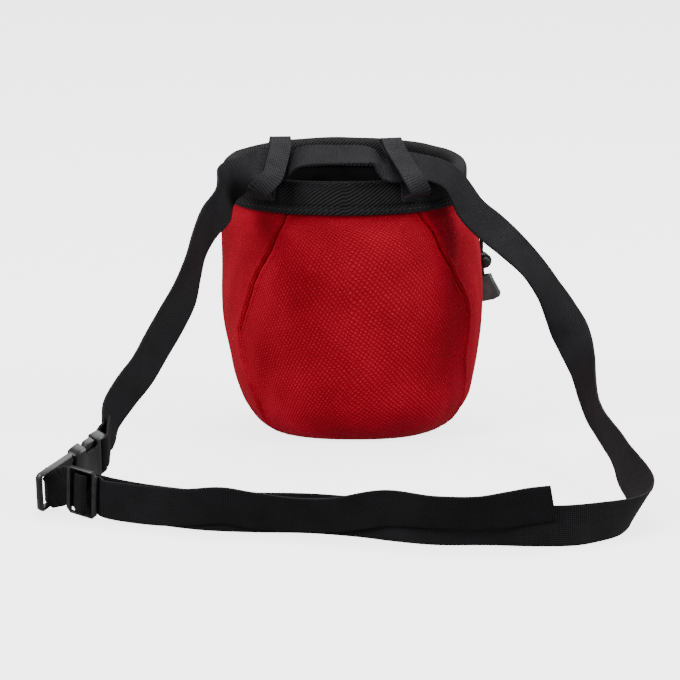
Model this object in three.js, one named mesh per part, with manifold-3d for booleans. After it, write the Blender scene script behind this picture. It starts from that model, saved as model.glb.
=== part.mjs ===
// Climbing chalk bag with its waist belt fastened and laid out in front of it.
// Millimetres, +Z up. The origin is the centre of the bag's base, on the surface that it
// stands on. The side with the belt loops looks along -Y, and +X is to its right.
import * as THREE from "three";
import { mergeVertices } from "three/addons/utils/BufferGeometryUtils.js";
import Module from "manifold-3d";

const wasm = await Module();
wasm.setup();

// Bag body
const BODY_WIDTH = 138;
const BODY_DEPTH = 125;
const BODY_HEIGHT = 134; // top edge of the cloth, hidden inside the rim binding
const CLOTH = 2;
const LINING = 1.6;
const BACK_SQUARENESS = 2.4; // the back is a little flatter than an ellipse, the front isn't
const FRONT_SQUARENESS = 2;
const SEAM_GAP = 0.6;
const CLEARANCE = 0.3;
const LINING_GAP = 1.4; // between the cloth and the lining

// Rim
const RIM_WIDTH = 129.2;
const RIM_DEPTH = 123;
const RIM_HEIGHT = 142.5; // top of the binding, midway between front and back
const RIM_TILT = 3; // the front stands higher than the middle by this, the back lower
const RIM_SHIFT = -4; // the rim sits this far to the left of the base
const BINDING_HEIGHT = 17;
const BINDING_WALL = 1.5;
const BINDING_ROLL = 3.1; // depth of the rounded roll along the top

// Webbing and belt
const BELT_WIDTH = 20;
const BELT_THICKNESS = 1.3;
const BELT_SPREAD = 300; // width of the space that the laid-out belt takes
const BELT_REACH = 290; // how far the belt reaches in front of the bag's middle

// Belt loops
const LOOP_WIDTH = 11;
const LOOP_THICKNESS = 1.2;
const LOOP_HEIGHT = 30; // from the lower stitching to the top of the fold
const LOOP_REACH = 16; // how far the fold leans in over the rim
const PULL_START = 0.2; // share of the loop's height below which the belt doesn't pull it over
// Degrees round from the middle of the back, how far the belt twists the loop's top, and how
// far to the right the belt pulls it over.
const LOOPS = { left: { turn: -34, twist: 43, pull: 8 }, right: { turn: 27, twist: -16, pull: -6 } };

// Side-release buckle
const BUCKLE_WIDTH = 25.5;
const BUCKLE_THICKNESS = 7;
const BUCKLE_BARS = 35.2; // between the two bars that hold the webbing
const SOCKET_LENGTH = 22;
const BAR = 2.6; // width of a bar that webbing turns round
const BAR_THICKNESS = 2.2;
const PLUG_FRAME = 9; // from the plug's bar to its outer cross bar

// Three-bar slider
const SLIDER_LENGTH = 18;
const SLIDER_WIDTH = 25;
const SLIDER_THICKNESS = 2.2;
const SLIDER_RAIL = 2.4;
const SLIDER_MIDDLE = 1.9;

// Cord, lock and cord end
const CORD = 2;
const LOCK_DIAMETER = 8.6;
const LOCK_LENGTH = 13;
const LOCK_BORE = 5.6;
const BUTTON_PROUD = 3.4; // how far the button stands out of the barrel
const CORD_HOLE = 3.4;
const BUTTON_TRAVEL = 2;
const END_HEIGHT = 14;
const END_TOP = 8.6;
const END_BOTTOM = 14.4;
const END_THICKNESS = 6;

const radians = THREE.MathUtils.degToRad;
const vec = (x, y, z) => new THREE.Vector3(x, y, z);
const axis = (x, y, z) => vec(x, y, z).normalize();

// Solids from rings

// Joins rings of points into one closed solid. Rings that share one point close to a pole;
// "fan" caps close a convex ring, "strip" caps close a ring that runs out along one face of a
// sheet and back along the other.
function loft(rings, ends) {
  const m = rings[0].length;
  const points = rings.flat();
  const tris = [];
  const quad = (a, b, c, d) => tris.push([a, b, c], [a, c, d]);
  const last = ends === "ring" ? rings.length : rings.length - 1;
  for (let r = 0; r < last; r++) {
    const low = r * m;
    const high = ((r + 1) % rings.length) * m;
    for (let i = 0; i < m; i++) {
      const j = (i + 1) % m;
      quad(low + i, low + j, high + j, high + i);
    }
  }
  for (const [start, turn] of [[0, true], [(rings.length - 1) * m, false]]) {
    if (ends === "fan") {
      const middle = vec(0, 0, 0);
      for (let i = 0; i < m; i++) middle.addScaledVector(points[start + i], 1 / m);
      points.push(middle);
      const hub = points.length - 1;
      for (let i = 0; i < m; i++) {
        const j = (i + 1) % m;
        tris.push(turn ? [hub, start + j, start + i] : [hub, start + i, start + j]);
      }
    }
    if (ends === "strip") {
      for (let i = 0; i < m / 2 - 1; i++) {
        const [a, b, c, d] = [start + i, start + i + 1, start + m - 2 - i, start + m - 1 - i];
        if (turn) quad(a, d, c, b);
        else quad(a, b, c, d);
      }
    }
  }
  return solid(points, tris);
}

// Merges equal points, drops collapsed triangles and turns the faces outward.
function solid(points, tris) {
  let geometry = new THREE.BufferGeometry();
  geometry.setAttribute("position", new THREE.Float32BufferAttribute(points.flatMap((p) => [p.x, p.y, p.z]), 3));
  geometry.setIndex(tris.flat());
  geometry = mergeVertices(geometry, 1e-4);
  const at = geometry.attributes.position;
  const index = geometry.index.array;
  const kept = [];
  let volume = 0;
  for (let i = 0; i < index.length; i += 3) {
    const [a, b, c] = [index[i], index[i + 1], index[i + 2]];
    if (a === b || b === c || a === c) continue;
    kept.push(a, b, c);
    const p = [a, b, c].map((k) => new THREE.Vector3().fromBufferAttribute(at, k));
    volume += p[0].dot(p[1].clone().cross(p[2]));
  }
  if (volume < 0) for (let i = 0; i < kept.length; i += 3) [kept[i], kept[i + 1]] = [kept[i + 1], kept[i]];
  geometry.setIndex(kept);
  geometry.computeVertexNormals();
  return geometry;
}

// Booleans on closed geometry

function manifold(geometry, matrix) {
  const g = geometry.clone();
  g.deleteAttribute("normal");
  g.deleteAttribute("uv");
  if (matrix) g.applyMatrix4(matrix);
  const merged = mergeVertices(g, 1e-4);
  return new wasm.Manifold(new wasm.Mesh({
    numProp: 3,
    vertProperties: new Float32Array(merged.attributes.position.array),
    triVerts: new Uint32Array(merged.index.array),
  }));
}

function geometryOf(body) {
  const mesh = body.getMesh();
  const geometry = new THREE.BufferGeometry();
  geometry.setAttribute("position", new THREE.Float32BufferAttribute(mesh.vertProperties, 3));
  geometry.setIndex(Array.from(mesh.triVerts));
  geometry.computeVertexNormals();
  return geometry;
}

const shifted = (x, y, z) => new THREE.Matrix4().makeTranslation(x, y, z);

// A box given by its middle and its size.
const block = (size, middle) => manifold(new THREE.BoxGeometry(...size), shifted(...middle));

// A flat plate with the outline of the given points and rounded or straight sides.
function plate(outline, thickness, bevel = 0) {
  const shape = new THREE.Shape(outline.map(([x, y]) => new THREE.Vector2(x, y)));
  const geometry = new THREE.ExtrudeGeometry(shape, {
    depth: thickness - 2 * bevel,
    bevelEnabled: bevel > 0,
    bevelThickness: bevel,
    bevelSize: bevel,
    bevelOffset: -bevel,
    bevelSegments: 1,
  });
  geometry.translate(0, 0, bevel - thickness / 2);
  return manifold(geometry);
}

// A rectangle with cut corners, centred on x, y.
function softRectangle(x, y, width, height, corner) {
  const [w, h] = [width / 2, height / 2];
  return [
    [x - w + corner, y - h], [x + w - corner, y - h], [x + w, y - h + corner], [x + w, y + h - corner],
    [x + w - corner, y + h], [x - w + corner, y + h], [x - w, y + h - corner], [x - w, y - h + corner],
  ];
}

// Body

// Outline of the body from the base up: height as a share of BODY_HEIGHT, half width and
// shift as shares of half BODY_WIDTH, half depth as a share of half BODY_DEPTH, and the two
// seams of the back panel in degrees round from the middle of the back.
const BODY_ROWS = [
  { rise: 0.004, wide: 0.635, deep: 0.73, shift: 0.014, leftSeam: -52, rightSeam: 62 },
  { rise: 0.022, wide: 0.704, deep: 0.806, shift: 0.017, leftSeam: -54, rightSeam: 66 },
  { rise: 0.06, wide: 0.79, deep: 0.874, shift: 0.023, leftSeam: -55, rightSeam: 68 },
  { rise: 0.127, wide: 0.872, deep: 0.934, shift: 0.026, leftSeam: -54, rightSeam: 68 },
  { rise: 0.216, wide: 0.923, deep: 0.966, shift: 0.017, leftSeam: -56, rightSeam: 64 },
  { rise: 0.32, wide: 0.959, deep: 0.986, shift: 0.012, leftSeam: -59, rightSeam: 58 },
  { rise: 0.425, wide: 0.991, deep: 0.997, shift: 0.003, leftSeam: -57, rightSeam: 59 },
  { rise: 0.53, wide: 1.003, deep: 1, shift: 0, leftSeam: -50, rightSeam: 58 },
  { rise: 0.65, wide: 0.997, deep: 0.997, shift: -0.003, leftSeam: -44, rightSeam: 50 },
  { rise: 0.765, wide: 0.988, deep: 0.989, shift: -0.017, leftSeam: -34, rightSeam: 41 },
  { rise: 0.85, wide: 0.965, deep: 0.979, shift: -0.035, leftSeam: -29, rightSeam: 38 },
  { rise: 0.9, wide: 0.928, deep: 0.966, shift: -0.049, leftSeam: -26, rightSeam: 35 },
  { rise: 0.93, wide: 0.909, deep: 0.954, shift: -0.058, leftSeam: -25, rightSeam: 34 },
  { rise: 1, wide: 0.909, deep: 0.954, shift: -0.058, leftSeam: -25, rightSeam: 34 },
];

// Soft hollows (in) and bulges (out) of the cloth: degrees round, height as a share of
// BODY_HEIGHT, how far the dent spreads in degrees and as a share of height, depth in cloths.
const DENTS = [
  { turn: -24, rise: 0.5, spreadTurn: 13, spreadRise: 0.2, cloths: -0.8 },
  { turn: 18, rise: 0.42, spreadTurn: 16, spreadRise: 0.16, cloths: 0.6 },
  { turn: 62, rise: 0.72, spreadTurn: 12, spreadRise: 0.1, cloths: -0.8 },
  { turn: -66, rise: 0.76, spreadTurn: 14, spreadRise: 0.1, cloths: -0.5 },
  { turn: 40, rise: 0.16, spreadTurn: 14, spreadRise: 0.08, cloths: 0.6 },
  { turn: 170, rise: 0.55, spreadTurn: 22, spreadRise: 0.2, cloths: -0.7 },
];

const bend = (value, power) => Math.sign(value) * Math.abs(value) ** (2 / power);

// Point of an oval at an angle round from the middle of the back.
function oval(turn, halfWidth, halfDepth) {
  const across = Math.sin(radians(turn));
  const along = Math.cos(radians(turn));
  const power = along > 0 ? BACK_SQUARENESS : FRONT_SQUARENESS;
  return vec(halfWidth * bend(across, power), -halfDepth * bend(along, power), 0);
}

// How much the tilt of the rim lifts a point: nothing at the base, all of it at the top.
const tiltAt = (y, rise) => (RIM_TILT * y * rise ** 3) / (RIM_DEPTH / 2);

// Point of the body's outer face, moved in by the given depth.
function bodyPoint(row, turn, depth) {
  const wide = (BODY_WIDTH / 2) * row.wide;
  const deep = (BODY_DEPTH / 2) * row.deep;
  let dent = 0;
  for (const d of DENTS) {
    const round = ((turn - d.turn + 540) % 360) - 180;
    dent += d.cloths * CLOTH * Math.exp(-((round / d.spreadTurn) ** 2) - ((row.rise - d.rise) / d.spreadRise) ** 2);
  }
  const grown = dent - depth * row.flat;
  const p = oval(turn, wide + grown, deep + grown);
  p.x += (BODY_WIDTH / 2) * row.shift;
  p.z = BODY_HEIGHT * row.rise + depth * row.under;
  p.z += tiltAt(p.y, row.rise);
  return p;
}

// Each row also needs the slope of the wall there, so that a depth is measured square to it.
BODY_ROWS.forEach((row, k) => {
  const below = BODY_ROWS[Math.max(k - 1, 0)];
  const above = BODY_ROWS[Math.min(k + 1, BODY_ROWS.length - 1)];
  const out = ((above.wide - below.wide) * BODY_WIDTH) / 2;
  const up = (above.rise - below.rise) * BODY_HEIGHT;
  const length = Math.hypot(out, up);
  row.flat = up / length;
  row.under = out / length;
});

function panel(startTurn, endTurn, steps) {
  const rings = BODY_ROWS.map((row) => {
    const gap = THREE.MathUtils.radToDeg(SEAM_GAP / BODY_WIDTH);
    const start = startTurn(row) + gap;
    const end = endTurn(row) - gap;
    const outer = [];
    const inner = [];
    for (let i = 0; i <= steps; i++) {
      const turn = start + ((end - start) * i) / steps;
      outer.push(bodyPoint(row, turn, 0));
      inner.unshift(bodyPoint(row, turn, CLOTH));
    }
    return [...outer, ...inner];
  });
  return loft(rings, "strip");
}

const ROUND_STEPS = 48;
const ringAt = (point) => Array.from({ length: ROUND_STEPS }, (_, i) => point((360 * i) / ROUND_STEPS));

const backPanel = panel((row) => row.leftSeam, (row) => row.rightSeam, 20);
const frontPanel = panel((row) => row.rightSeam, (row) => 360 + row.leftSeam, 36);

// Flat round base, just inside the lower edge of the side panels.
const foot = BODY_ROWS[0];
const basePoint = (turn, share, height) => {
  const inset = CLOTH * 0.45 + CLEARANCE;
  const edge = oval(turn, (BODY_WIDTH / 2) * foot.wide - inset, (BODY_DEPTH / 2) * foot.deep - inset);
  return vec(edge.x * share + (BODY_WIDTH / 2) * foot.shift, edge.y * share, height);
};
const basePanel = loft(
  [[0, 0], [0.7, 0], [1, 0], [1, CLOTH], [0.7, CLOTH], [0, CLOTH]].map(([share, height]) =>
    ringAt((turn) => basePoint(turn, share, height))),
  "pole",
);

// The lining is a cup inside the panels, open at the top.
const LINING_OUTSIDE = CLOTH + LINING_GAP;
const LINING_INSIDE = LINING_OUTSIDE + LINING;
const floorRings = (height, shares) => shares.map((share) => ringAt((turn) => basePoint(turn, share, height)));
const liningRows = [1, 2, 3, 5, 7, 8, 9, 10, 11, 12, 13].map((k) => BODY_ROWS[k]);
const lining = loft(
  [
    ...floorRings(LINING_OUTSIDE, [0, 0.7, 0.93]),
    ...liningRows.map((row) => ringAt((turn) => bodyPoint(row, turn, LINING_OUTSIDE))),
    ...liningRows.map((row) => ringAt((turn) => bodyPoint(row, turn, LINING_INSIDE))).reverse(),
    ...floorRings(LINING_INSIDE, [0.93, 0.7, 0]),
  ],
  "pole",
);

// Rim binding: an upside-down U over the top edges of the cloth and the lining, with a round
// roll along its top. Depth in from the outer face and height up from the lower edge.
const RIM_LAYERS = CLOTH + LINING_GAP + LINING + 2 * CLEARANCE;
const RIM_THICKNESS = RIM_LAYERS + 2 * BINDING_WALL;
const SLOT_TOP = BINDING_HEIGHT - BINDING_ROLL - 2.6 * CLEARANCE;
const RIM_PROFILE = [
  [0, 0], [0, BINDING_HEIGHT * 0.5], [-0.15, BINDING_HEIGHT - BINDING_ROLL],
  [RIM_THICKNESS * 0.06, BINDING_HEIGHT - BINDING_ROLL * 0.45],
  [RIM_THICKNESS * 0.25, BINDING_HEIGHT - BINDING_ROLL * 0.1],
  [RIM_THICKNESS * 0.5, BINDING_HEIGHT],
  [RIM_THICKNESS * 0.75, BINDING_HEIGHT - BINDING_ROLL * 0.1],
  [RIM_THICKNESS * 0.94, BINDING_HEIGHT - BINDING_ROLL * 0.45],
  [RIM_THICKNESS + 0.15, BINDING_HEIGHT - BINDING_ROLL],
  [RIM_THICKNESS, BINDING_HEIGHT * 0.5], [RIM_THICKNESS, BINDING_HEIGHT * 0.12],
  [RIM_THICKNESS - BINDING_WALL, BINDING_HEIGHT * 0.12],
  [RIM_THICKNESS - BINDING_WALL, SLOT_TOP], [BINDING_WALL, SLOT_TOP], [BINDING_WALL, 0],
];

// Point of the rim, by depth in from its outer face and height above the binding's lower edge.
function rimPoint(turn, depth, height) {
  const p = oval(turn, RIM_WIDTH / 2 - depth, RIM_DEPTH / 2 - depth);
  p.z = RIM_HEIGHT - BINDING_HEIGHT + height + tiltAt(p.y, 1);
  p.x += RIM_SHIFT;
  return p;
}
const rimBinding = loft(
  ringAt((turn) => RIM_PROFILE.map(([depth, height]) => rimPoint(turn, depth, height))),
  "ring",
);

// Straps

// A flat strap along a smooth line through stations, each with a middle and the direction
// across the webbing.
function strap(stations, steps, width, thickness) {
  const line = new THREE.CatmullRomCurve3(stations.map((s) => s.middle), false, "centripetal");
  const lean = new THREE.CatmullRomCurve3(stations.map((s) => s.across), false, "centripetal");
  const middles = [];
  const acrosses = [];
  const spans = stations.length - 1;
  for (let k = 0; k < spans; k++) {
    const length = stations[k].middle.distanceTo(stations[k + 1].middle);
    const count = Math.max(1, Math.round(length / steps));
    for (let i = 0; i < count; i++) {
      const t = (k + i / count) / spans;
      middles.push(line.getPoint(t));
      acrosses.push(blend(stations, t * spans));
    }
  }
  middles.push(line.getPoint(1));
  acrosses.push(stations[spans].across.clone());
  const rings = middles.map((middle, k) => {
    const before = middles[Math.max(k - 1, 0)];
    const after = middles[Math.min(k + 1, middles.length - 1)];
    const along = after.clone().sub(before).normalize();
    const across = acrosses[k].clone().addScaledVector(along, -acrosses[k].dot(along)).normalize();
    const face = along.clone().cross(across).normalize();
    return [[-1, -1], [1, -1], [1, 1], [-1, 1]].map(([side, skin]) =>
      middle.clone().addScaledVector(across, (side * width) / 2).addScaledVector(face, (skin * thickness) / 2));
  });
  return loft(rings, "fan");
}

// Direction across the webbing between two stations.
function blend(stations, at) {
  const k = Math.min(Math.floor(at), stations.length - 2);
  const t = at - k;
  const ease = t * t * (3 - 2 * t);
  return stations[k].across.clone().lerp(stations[k + 1].across, ease).normalize();
}

// Belt loops: webbing folded over, both ends sewn to the outside of the binding. Depth in
// over the rim as a share of LOOP_REACH, height as a share of LOOP_HEIGHT.
const LOOP_ROWS = [
  { reach: -0.19, rise: 0 }, { reach: -0.27, rise: 0.07 }, { reach: -0.62, rise: 0.13 },
  { reach: -0.84, rise: 0.2 }, { reach: -0.86, rise: 0.32 }, { reach: -0.72, rise: 0.46 },
  { reach: -0.35, rise: 0.61 },
  { reach: 0.33, rise: 0.84 }, { reach: 0.62, rise: 0.945 }, { reach: 0.85, rise: 1 },
  { reach: 0.97, rise: 0.975 }, { reach: 0.98, rise: 0.92 }, { reach: 0.8, rise: 0.85 },
  { reach: 0.5, rise: 0.69 }, { reach: 0.2, rise: 0.54 }, { reach: 0, rise: 0.455 },
  { reach: -0.16, rise: 0.37 }, { reach: -0.14, rise: 0.25 }, { reach: -0.09, rise: 0.12 },
  { reach: -0.09, rise: 0 },
];
// The belt runs straight through a loop and leans in with it.
const IN_LOOP = { reach: -0.027, rise: 0.575, lean: 48 };

// Where a loop is sewn on, and which ways are inward and along the rim at a height up the
// loop, which twists more towards its top.
function loopFrame(loop, rise) {
  const sewn = rimPoint(loop.turn, 0, BINDING_HEIGHT * 0.42);
  const straight = vec(RIM_SHIFT - sewn.x, -sewn.y, 0).normalize();
  const pivot = sewn.clone().addScaledVector(straight, IN_LOOP.reach * LOOP_REACH);
  const twist = radians(loop.twist) * THREE.MathUtils.smoothstep(rise, 0, 0.5);
  const inward = straight.applyAxisAngle(vec(0, 0, 1), twist);
  pivot.x += loop.pull * THREE.MathUtils.smoothstep(rise, PULL_START, 1);
  pivot.z += rise * LOOP_HEIGHT;
  return { pivot, inward, sideways: inward.clone().cross(vec(0, 0, 1)) };
}
function beltLoop(loop) {
  const stations = LOOP_ROWS.map((row) => {
    const { pivot, inward, sideways } = loopFrame(loop, row.rise);
    return {
      middle: pivot.addScaledVector(inward, (row.reach - IN_LOOP.reach) * LOOP_REACH),
      across: sideways,
    };
  });
  return strap(stations, 3.2, LOOP_WIDTH, LOOP_THICKNESS);
}
function beltInLoop(loop) {
  const { pivot, inward, sideways } = loopFrame(loop, IN_LOOP.rise);
  const above = loopFrame(loop, IN_LOOP.rise + 0.1).pivot;
  const up = above.sub(pivot).normalize();
  return [-0.95, 0, 0.62].map((share) => ({
    middle: pivot.clone().addScaledVector(sideways, share * LOOP_WIDTH),
    across: inward.clone().multiplyScalar(Math.sin(radians(IN_LOOP.lean)))
      .addScaledVector(up, Math.cos(radians(IN_LOOP.lean))),
  }));
}

// Buckle and slider places

// The buckle leans over: its length runs back to the right and up from the plug's bar, and
// its upper edge tips towards -Y.
const PLUG_BAR_PLACE = vec(-0.4967 * BELT_SPREAD, -0.7345 * BELT_REACH, BUCKLE_WIDTH * 0.525);
const buckleAcross = axis(0, -0.515, 0.857);
const buckleAlong = axis(0.69, 0.62, 0.373);
const buckleFace = buckleAlong.clone().cross(buckleAcross).normalize();
const buckleAt = (along, face) =>
  PLUG_BAR_PLACE.clone().addScaledVector(buckleAlong, along).addScaledVector(buckleFace, face);

const SLIDER_PLACE = vec(-0.4433 * BELT_SPREAD, -0.786 * BELT_REACH, SLIDER_WIDTH * 0.53);
const sliderAlong = axis(0.82, -0.54, -0.12);
const sliderAcross = axis(0.17, -0.27, 0.95);
const sliderFace = sliderAlong.clone().cross(sliderAcross).normalize();
sliderAcross.copy(sliderFace.clone().cross(sliderAlong));
const sliderAt = (along, face) =>
  SLIDER_PLACE.clone().addScaledVector(sliderAlong, along).addScaledVector(sliderFace, face);

// Webbing that turns round a bar runs this far from the bar's middle.
const TURN_RADIUS = Math.hypot(BAR, BAR_THICKNESS) / 2 + 1.5 * CLEARANCE + BELT_THICKNESS / 2;
const SKIM = SLIDER_THICKNESS / 2 + 1.5 * CLEARANCE + BELT_THICKNESS / 2;

// Stations round half a bar, from one side over the end to the other side.
function roundBar(middle, from, over, across) {
  return [0, 30, 60, 90, 120, 150, 180].map((turn) => ({
    middle: middle.clone()
      .addScaledVector(from, TURN_RADIUS * Math.cos(radians(turn)))
      .addScaledVector(over, TURN_RADIUS * Math.sin(radians(turn))),
    across,
  }));
}

// Belt

// The belt's line: x as a share of BELT_SPREAD, y as a share of BELT_REACH in front of the
// bag's middle, lift of the lower edge as a share of RIM_HEIGHT, and how far the upper edge
// hangs over the lower edge to +X and to +Y, as shares of BELT_WIDTH.
const LEFT_STRETCH = [
  { x: -0.4077, y: 0.623, lift: 0.165, tipX: -0.18, tipY: -0.48 },
  { x: -0.4017, y: 0.6, lift: 0.228, tipX: -0.31, tipY: -0.44 },
  { x: -0.3807, y: 0.565, lift: 0.292, tipX: -0.39, tipY: -0.4 },
  { x: -0.3527, y: 0.525, lift: 0.359, tipX: -0.44, tipY: -0.41 },
  { x: -0.331, y: 0.49, lift: 0.434, tipX: -0.5, tipY: -0.43 },
  { x: -0.307, y: 0.4565, lift: 0.516, tipX: -0.54, tipY: -0.45 },
  { x: -0.2843, y: 0.4245, lift: 0.601, tipX: -0.5, tipY: -0.54 },
  { x: -0.2707, y: 0.389, lift: 0.681, tipX: -0.34, tipY: -0.61 },
  { x: -0.2607, y: 0.347, lift: 0.748, tipX: -0.27, tipY: -0.52 },
  { x: -0.2453, y: 0.302, lift: 0.803, tipX: -0.31, tipY: -0.37 },
  { x: -0.223, y: 0.2565, lift: 0.847, tipX: -0.33, tipY: -0.22 },
  { x: -0.213, y: 0.19, lift: 0.908, tipX: -0.34, tipY: 0.03 },
];
const MIDDLE_STRETCH = [
  { x: -0.0887, y: 0.194, lift: 1.042, tipX: 0.08, tipY: 0.92 },
  { x: -0.024, y: 0.203, lift: 1.056, tipX: -0.05, tipY: 0.94 },
  { x: 0.034, y: 0.199, lift: 1.048, tipX: -0.2, tipY: 0.92 },
];
const RIGHT_STRETCH = [
  { x: 0.17, y: 0.164, lift: 0.94, tipX: 0.15, tipY: 0.8 },
  { x: 0.209, y: 0.172, lift: 0.837, tipX: 0.61, tipY: 0.7 },
  { x: 0.2423, y: 0.1775, lift: 0.77, tipX: 0.67, tipY: 0.6 },
  { x: 0.2763, y: 0.192, lift: 0.711, tipX: 0.57, tipY: 0.7 },
  { x: 0.3097, y: 0.1945, lift: 0.644, tipX: 0.48, tipY: 0.79 },
  { x: 0.339, y: 0.195, lift: 0.56, tipX: 0.56, tipY: 0.76 },
  { x: 0.364, y: 0.1972, lift: 0.463, tipX: 0.81, tipY: 0.47 },
  { x: 0.3843, y: 0.212, lift: 0.363, tipX: 0.84, tipY: -0.2 },
  { x: 0.3977, y: 0.248, lift: 0.279, tipX: 0.58, tipY: -0.43 },
  { x: 0.404, y: 0.291, lift: 0.205, tipX: 0.4, tipY: -0.45 },
  { x: 0.4103, y: 0.338, lift: 0.147, tipX: 0.22, tipY: -0.33 },
  { x: 0.4183, y: 0.39, lift: 0.114, tipX: 0.05, tipY: -0.22 },
  { x: 0.4273, y: 0.443, lift: 0.092, tipX: 0, tipY: -0.16 },
  { x: 0.4367, y: 0.497, lift: 0.078, tipX: 0.03, tipY: -0.12 },
  { x: 0.4447, y: 0.551, lift: 0.065, tipX: 0.14, tipY: -0.11 },
  { x: 0.4507, y: 0.606, lift: 0.052, tipX: 0.27, tipY: -0.07 },
  { x: 0.4587, y: 0.66, lift: 0.044, tipX: 0.41, tipY: -0.03 },
  { x: 0.4683, y: 0.715, lift: 0.035, tipX: 0.51, tipY: -0.02 },
  { x: 0.4737, y: 0.77, lift: 0.025, tipX: 0.55, tipY: -0.09 },
  { x: 0.4693, y: 0.824, lift: 0.012, tipX: 0.52, tipY: -0.16 },
  { x: 0.4567, y: 0.877, lift: 0.004, tipX: 0.41, tipY: -0.17 },
  { x: 0.4343, y: 0.9245, lift: 0.002, tipX: 0.25, tipY: -0.15 },
  { x: 0.398, y: 0.962, lift: 0.002, tipX: 0.08, tipY: -0.07 },
  { x: 0.3537, y: 0.989, lift: 0.002, tipX: -0.02, tipY: 0.07 },
  { x: 0.298, y: 0.996, lift: 0.002, tipX: 0, tipY: 0.05 },
  { x: 0.2133, y: 0.989, lift: 0.002, tipX: 0, tipY: 0 },
  { x: 0.13, y: 0.987, lift: 0.002, tipX: 0, tipY: 0 },
  { x: 0.0633, y: 0.96, lift: 0.002, tipX: 0, tipY: 0 },
  { x: 0.0123, y: 0.931, lift: 0.002, tipX: 0, tipY: 0 },
  { x: -0.0713, y: 0.9015, lift: 0.002, tipX: 0, tipY: 0 },
  { x: -0.1653, y: 0.894, lift: 0.002, tipX: 0, tipY: 0 },
  { x: -0.2433, y: 0.879, lift: 0.002, tipX: 0, tipY: 0 },
  { x: -0.321, y: 0.838, lift: 0.002, tipX: 0, tipY: -0.03 },
  { x: -0.369, y: 0.81, lift: 0.006, tipX: 0.02, tipY: -0.08 },
];
const TAIL = [
  { x: -0.409, y: 0.803, lift: 0.01, tipX: 0.02, tipY: -0.2 },
  { x: -0.364, y: 0.8265, lift: 0.003, tipX: 0, tipY: -0.1 },
  { x: -0.3207, y: 0.85, lift: 0.004, tipX: 0, tipY: -0.1 },
  { x: -0.2643, y: 0.8845, lift: 0.019, tipX: 0, tipY: -0.3 },
  { x: -0.2107, y: 0.904, lift: 0.034, tipX: 0, tipY: -0.29 },
  { x: -0.165, y: 0.9105, lift: 0.019, tipX: 0, tipY: -0.25 },
  { x: -0.086, y: 0.923, lift: 0.014, tipX: 0, tipY: -0.42 },
  { x: -0.0263, y: 0.94, lift: 0.022, tipX: 0, tipY: -0.42 },
  { x: 0.0523, y: 0.975, lift: 0.059, tipX: 0, tipY: -0.35 },
  { x: 0.1303, y: 1.013, lift: 0.067, tipX: 0, tipY: -0.48 },
  { x: 0.1977, y: 1.0135, lift: 0.063, tipX: 0, tipY: -0.45 },
  { x: 0.247, y: 1.01, lift: 0.069, tipX: -0.03, tipY: -0.32 },
  { x: 0.2807, y: 1.008, lift: 0.079, tipX: -0.05, tipY: -0.28 },
  { x: 0.319, y: 1.01, lift: 0.093, tipX: -0.08, tipY: -0.35 },
];

function station(row) {
  const upright = Math.sqrt(Math.max(0, 1 - row.tipX ** 2 - row.tipY ** 2));
  return {
    middle: vec(
      row.x * BELT_SPREAD,
      -row.y * BELT_REACH,
      row.lift * RIM_HEIGHT + (BELT_WIDTH / 2) * upright,
    ),
    across: vec(row.tipX, row.tipY, upright),
  };
}

// The sewn end leaves the socket's bar bent back from the buckle's length by BEND degrees.
const BEND = 35;
const socketBar = buckleAt(BUCKLE_BARS, 0);
const leaving = buckleAlong.clone().multiplyScalar(Math.cos(radians(BEND)))
  .addScaledVector(buckleFace, -Math.sin(radians(BEND)));
const skin = leaving.clone().cross(buckleAcross).normalize();
const fromSocket = (out, side) => ({
  middle: socketBar.clone().addScaledVector(leaving, out).addScaledVector(skin, side),
  across: buckleAcross,
});
const SEWN = 15;
const foldedEnd = [fromSocket(SEWN, BELT_THICKNESS), fromSocket(SEWN * 0.5, 0.7 * TURN_RADIUS)];
const backFromBar = [fromSocket(SEWN * 0.4, -0.8 * TURN_RADIUS)];
const socketTurn = roundBar(socketBar, skin, leaving.clone().negate(), buckleAcross);

// At the plug the webbing comes off its bar square to the buckle's face.
const LEG = BUCKLE_THICKNESS * 0.5;
const plugTurn = [
  { middle: buckleAt(TURN_RADIUS, LEG), across: buckleAcross },
  ...roundBar(PLUG_BAR_PLACE, buckleAlong, buckleFace.clone().negate(), buckleAcross),
  { middle: buckleAt(-TURN_RADIUS - 2 * CLEARANCE, LEG * 0.5), across: buckleAcross },
  { middle: buckleAt(-TURN_RADIUS - 2 * CLEARANCE, LEG).addScaledVector(buckleAcross, -CLEARANCE), across: buckleAcross },
];

// The tail's way through the slider, as shares of its length and of the webbing's skim off
// the frame's middle: behind one rail, over the middle bar, behind the other rail.
const THREAD = [
  { along: -0.62, face: -1.15 }, { along: -0.46, face: -1 }, { along: -0.34, face: -0.93 }, { along: -0.21, face: 0 },
  { along: -0.08, face: 0.95 }, { along: 0.08, face: 0.95 }, { along: 0.21, face: 0 },
  { along: 0.34, face: -0.93 }, { along: 0.46, face: -1 },
];
const inSlider = (along, face) => ({ middle: sliderAt(along * SLIDER_LENGTH, face * SKIM), across: sliderAcross });
const throughSlider = THREAD.map((row) => inSlider(row.along, row.face));
const BEHIND = -1 - (BELT_THICKNESS + 2 * CLEARANCE) / SKIM;
const behindSlider = [0.6, -0.45].map((along) => inSlider(along, BEHIND));

const waistBelt = strap(
  [
    ...foldedEnd,
    ...socketTurn,
    ...backFromBar,
    ...LEFT_STRETCH.map(station),
    ...beltInLoop(LOOPS.left),
    ...MIDDLE_STRETCH.map(station),
    ...beltInLoop(LOOPS.right),
    ...RIGHT_STRETCH.map(station),
    ...behindSlider,
    ...plugTurn,
    ...throughSlider,
    ...TAIL.map(station),
  ],
  9,
  BELT_WIDTH,
  BELT_THICKNESS,
);

// Buckle

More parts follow.
